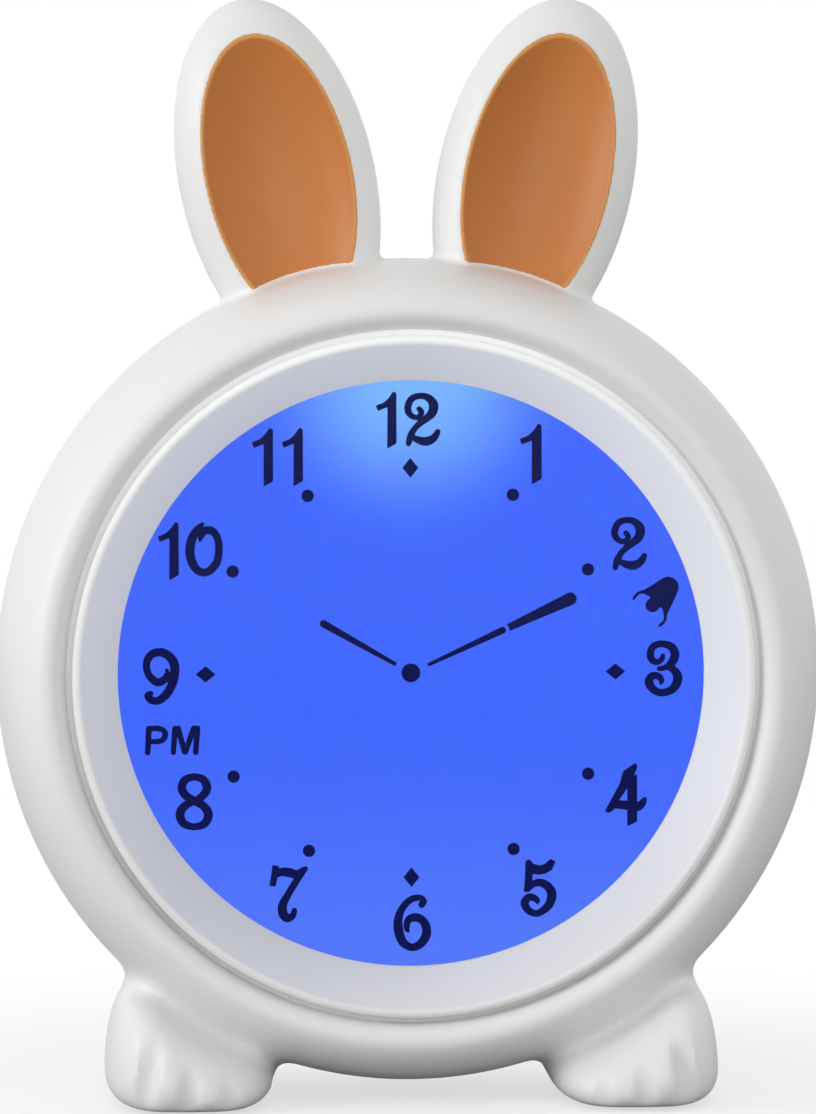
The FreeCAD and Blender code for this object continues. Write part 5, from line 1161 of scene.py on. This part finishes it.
def back_openings():
    """Cutting tools for the caps, wells, jack, slot, grille and door."""
    tools = []
    cap = CAP_RADIUS + CAP_GAP
    for name, turn in BUTTON_TURNS.items():
        half = LIGHT_HALF + CAP_GAP if name == "light_button" else cap
        tools.append(opening(on_ring(turn), half, cap, cap))
    levels = [(0, WELL_FLOOR), (0, BACK + 1 * MM)]
    for turn in WELL_TURNS:
        tools.append(pressed("well", on_ring(turn, WELL_RING), WELL_RADIUS, WELL_RADIUS, WELL_RADIUS,
                             levels))
    side = AXIS_HEIGHT + SIDE_OPENING_RISE
    tools.append(opening((BUTTON_RING, side), JACK_RADIUS, JACK_RADIUS, JACK_RADIUS))
    tools.append(opening((-BUTTON_RING, side), SLOT_HALF_WIDTH, SLOT_HALF_HEIGHT, SLOT_CORNER, 2))
    middle = AXIS_HEIGHT + GRILLE_RISE
    places = [(0, middle)]
    for ring in (1, 2, 3):
        for index in range(6 * ring):
            angle = 2 * math.pi * index / (6 * ring)
            radius = GRILLE_SPACING * ring
            places.append((radius * math.cos(angle), middle + radius * math.sin(angle)))
    tools += [opening(place, GRILLE_HOLE, GRILLE_HOLE, GRILLE_HOLE, 4) for place in places]
    tools.append(opening((0, (DOOR_LOW + DOOR_HIGH) / 2), DOOR_HALF_WIDTH,
                         (DOOR_HIGH - DOOR_LOW) / 2 + CAP_GAP, DOOR_CORNER))
    return tools


cut_through(rear, back_openings())
smooth(rear, 30)


# Floor, light and camera.

WHITE = (1, 1, 1, 1)
FLOOR_RADIUS = 3.0
FADE_START = 0.06
FADE_END = 0.2


def stage():
    """A pale floor that fades into the white ground and keeps the clock's shadow."""
    material = bpy.data.materials.new("pale floor")
    material.use_nodes = True
    tree, shader = shader_of(material)
    fill(shader, {"Roughness": 0.6, "Specular IOR Level": 0.2})
    glow = node(tree, "ShaderNodeEmission", {"Strength": 1.0})
    place = node(tree, "ShaderNodeTexCoord")
    far = node(tree, "ShaderNodeVectorMath", operation="LENGTH")
    fade = node(tree, "ShaderNodeMapRange",
                {"From Min": FADE_START, "From Max": FADE_END, "To Min": 0.64},
                interpolation_type="SMOOTHSTEP")
    path = node(tree, "ShaderNodeLightPath")
    seen = node(tree, "ShaderNodeMath", operation="MULTIPLY")
    tone = node(tree, "ShaderNodeMix", {"A": (0.38, 0.38, 0.38, 1), "B": (0.95, 0.95, 0.95, 1)},
                data_type="RGBA")
    blend = node(tree, "ShaderNodeMixShader")
    wire(tree, (place, "Object", far, 0), (far, "Value", fade, "Value"),
         (path, "Is Camera Ray", seen, 0), (fade, "Result", seen, 1),
         (path, "Is Camera Ray", tone, "Factor"), (tone, "Result", shader, "Base Color"),
         (seen, "Value", blend, 0), (shader, 0, blend, 1), (glow, 0, blend, 2),
         (blend, 0, tree.nodes["Material Output"], "Surface"))
    bm = bmesh.new()
    bmesh.ops.create_circle(bm, cap_ends=True, segments=96, radius=FLOOR_RADIUS)
    mesh = bpy.data.meshes.new("floor")
    bm.to_mesh(mesh)
    bm.free()
    floor = placed("floor", mesh)
    floor.data.materials.append(material)


def world_light():
    """A white room, less bright overhead; what is seen of it directly or mirrored stays white."""
    world = bpy.data.worlds.new("white room")
    bpy.context.scene.world = world
    world.use_nodes = True
    tree = world.node_tree
    tree.nodes.clear()
    way = node(tree, "ShaderNodeTexCoord")
    height = node(tree, "ShaderNodeSeparateXYZ")
    level = node(tree, "ShaderNodeMapRange", {"To Min": 1.08, "To Max": 0.46})
    room = node(tree, "ShaderNodeBackground", {"Color": WHITE})
    ground = node(tree, "ShaderNodeBackground", {"Color": WHITE, "Strength": 1.0})
    path = node(tree, "ShaderNodeLightPath")
    seen_or_mirrored = node(tree, "ShaderNodeMath", operation="MAXIMUM")
    white_ray = node(tree, "ShaderNodeMath", operation="MAXIMUM")
    mix = node(tree, "ShaderNodeMixShader")
    output = node(tree, "ShaderNodeOutputWorld")
    wire(tree, (way, "Generated", height, 0), (height, "Z", level, "Value"),
         (level, "Result", room, "Strength"), (path, "Is Camera Ray", seen_or_mirrored, 0),
         (path, "Is Glossy Ray", seen_or_mirrored, 1), (seen_or_mirrored, 0, white_ray, 0),
         (path, "Is Transmission Ray", white_ray, 1), (white_ray, 0, mix, 0),
         (room, 0, mix, 1), (ground, 0, mix, 2), (mix, 0, output, "Surface"))


def soft_lamp(name, place, aim, size, power):
    """A round area lamp that faces its aim."""
    data = bpy.data.lights.new(name, "AREA")
    data.shape = "DISK"
    data.size = size
    data.energy = power
    lamp = placed(name, data)
    lamp.location = place
    lamp.rotation_euler = (Vector(aim) - Vector(place)).to_track_quat("-Z", "Y").to_euler()


def photograph_camera():
    """The camera of the photograph: nearly square on, a little from the left and from above."""
    distance = 1119.2 * MM
    yaw, pitch, roll = (math.radians(angle) for angle in (3.29, 3.31, -0.16))
    aim = Vector((0.27 * MM, 0, 98.3 * MM))
    back = Vector((-math.sin(yaw) * math.cos(pitch), -math.cos(yaw) * math.cos(pitch),
                   math.sin(pitch)))
    right = (-back).cross(Vector((0, 0, 1))).normalized()
    up = right.cross(-back)
    across = math.cos(roll) * right + math.sin(roll) * up
    rise = -math.sin(roll) * right + math.cos(roll) * up
    data = bpy.data.cameras.new("camera")
    data.lens = 197.49
    data.sensor_width = 36.0
    data.sensor_fit = "AUTO"
    camera = placed("camera", data)
    turn = Matrix((across, rise, back)).transposed().to_4x4()
    camera.matrix_world = Matrix.Translation(aim + distance * back) @ turn
    bpy.context.scene.camera = camera


stage()
world_light()
CLOCK_MIDDLE = (0, 0, 0.09)
soft_lamp("key from the left", (-1.1, -0.45, 0.42), CLOCK_MIDDLE, 0.6, 4.8)
soft_lamp("fill from the front", (0.0, -1.2, 0.08), CLOCK_MIDDLE, 0.9, 2.8)
photograph_camera()
bpy.context.scene.view_settings.view_transform = "Standard"
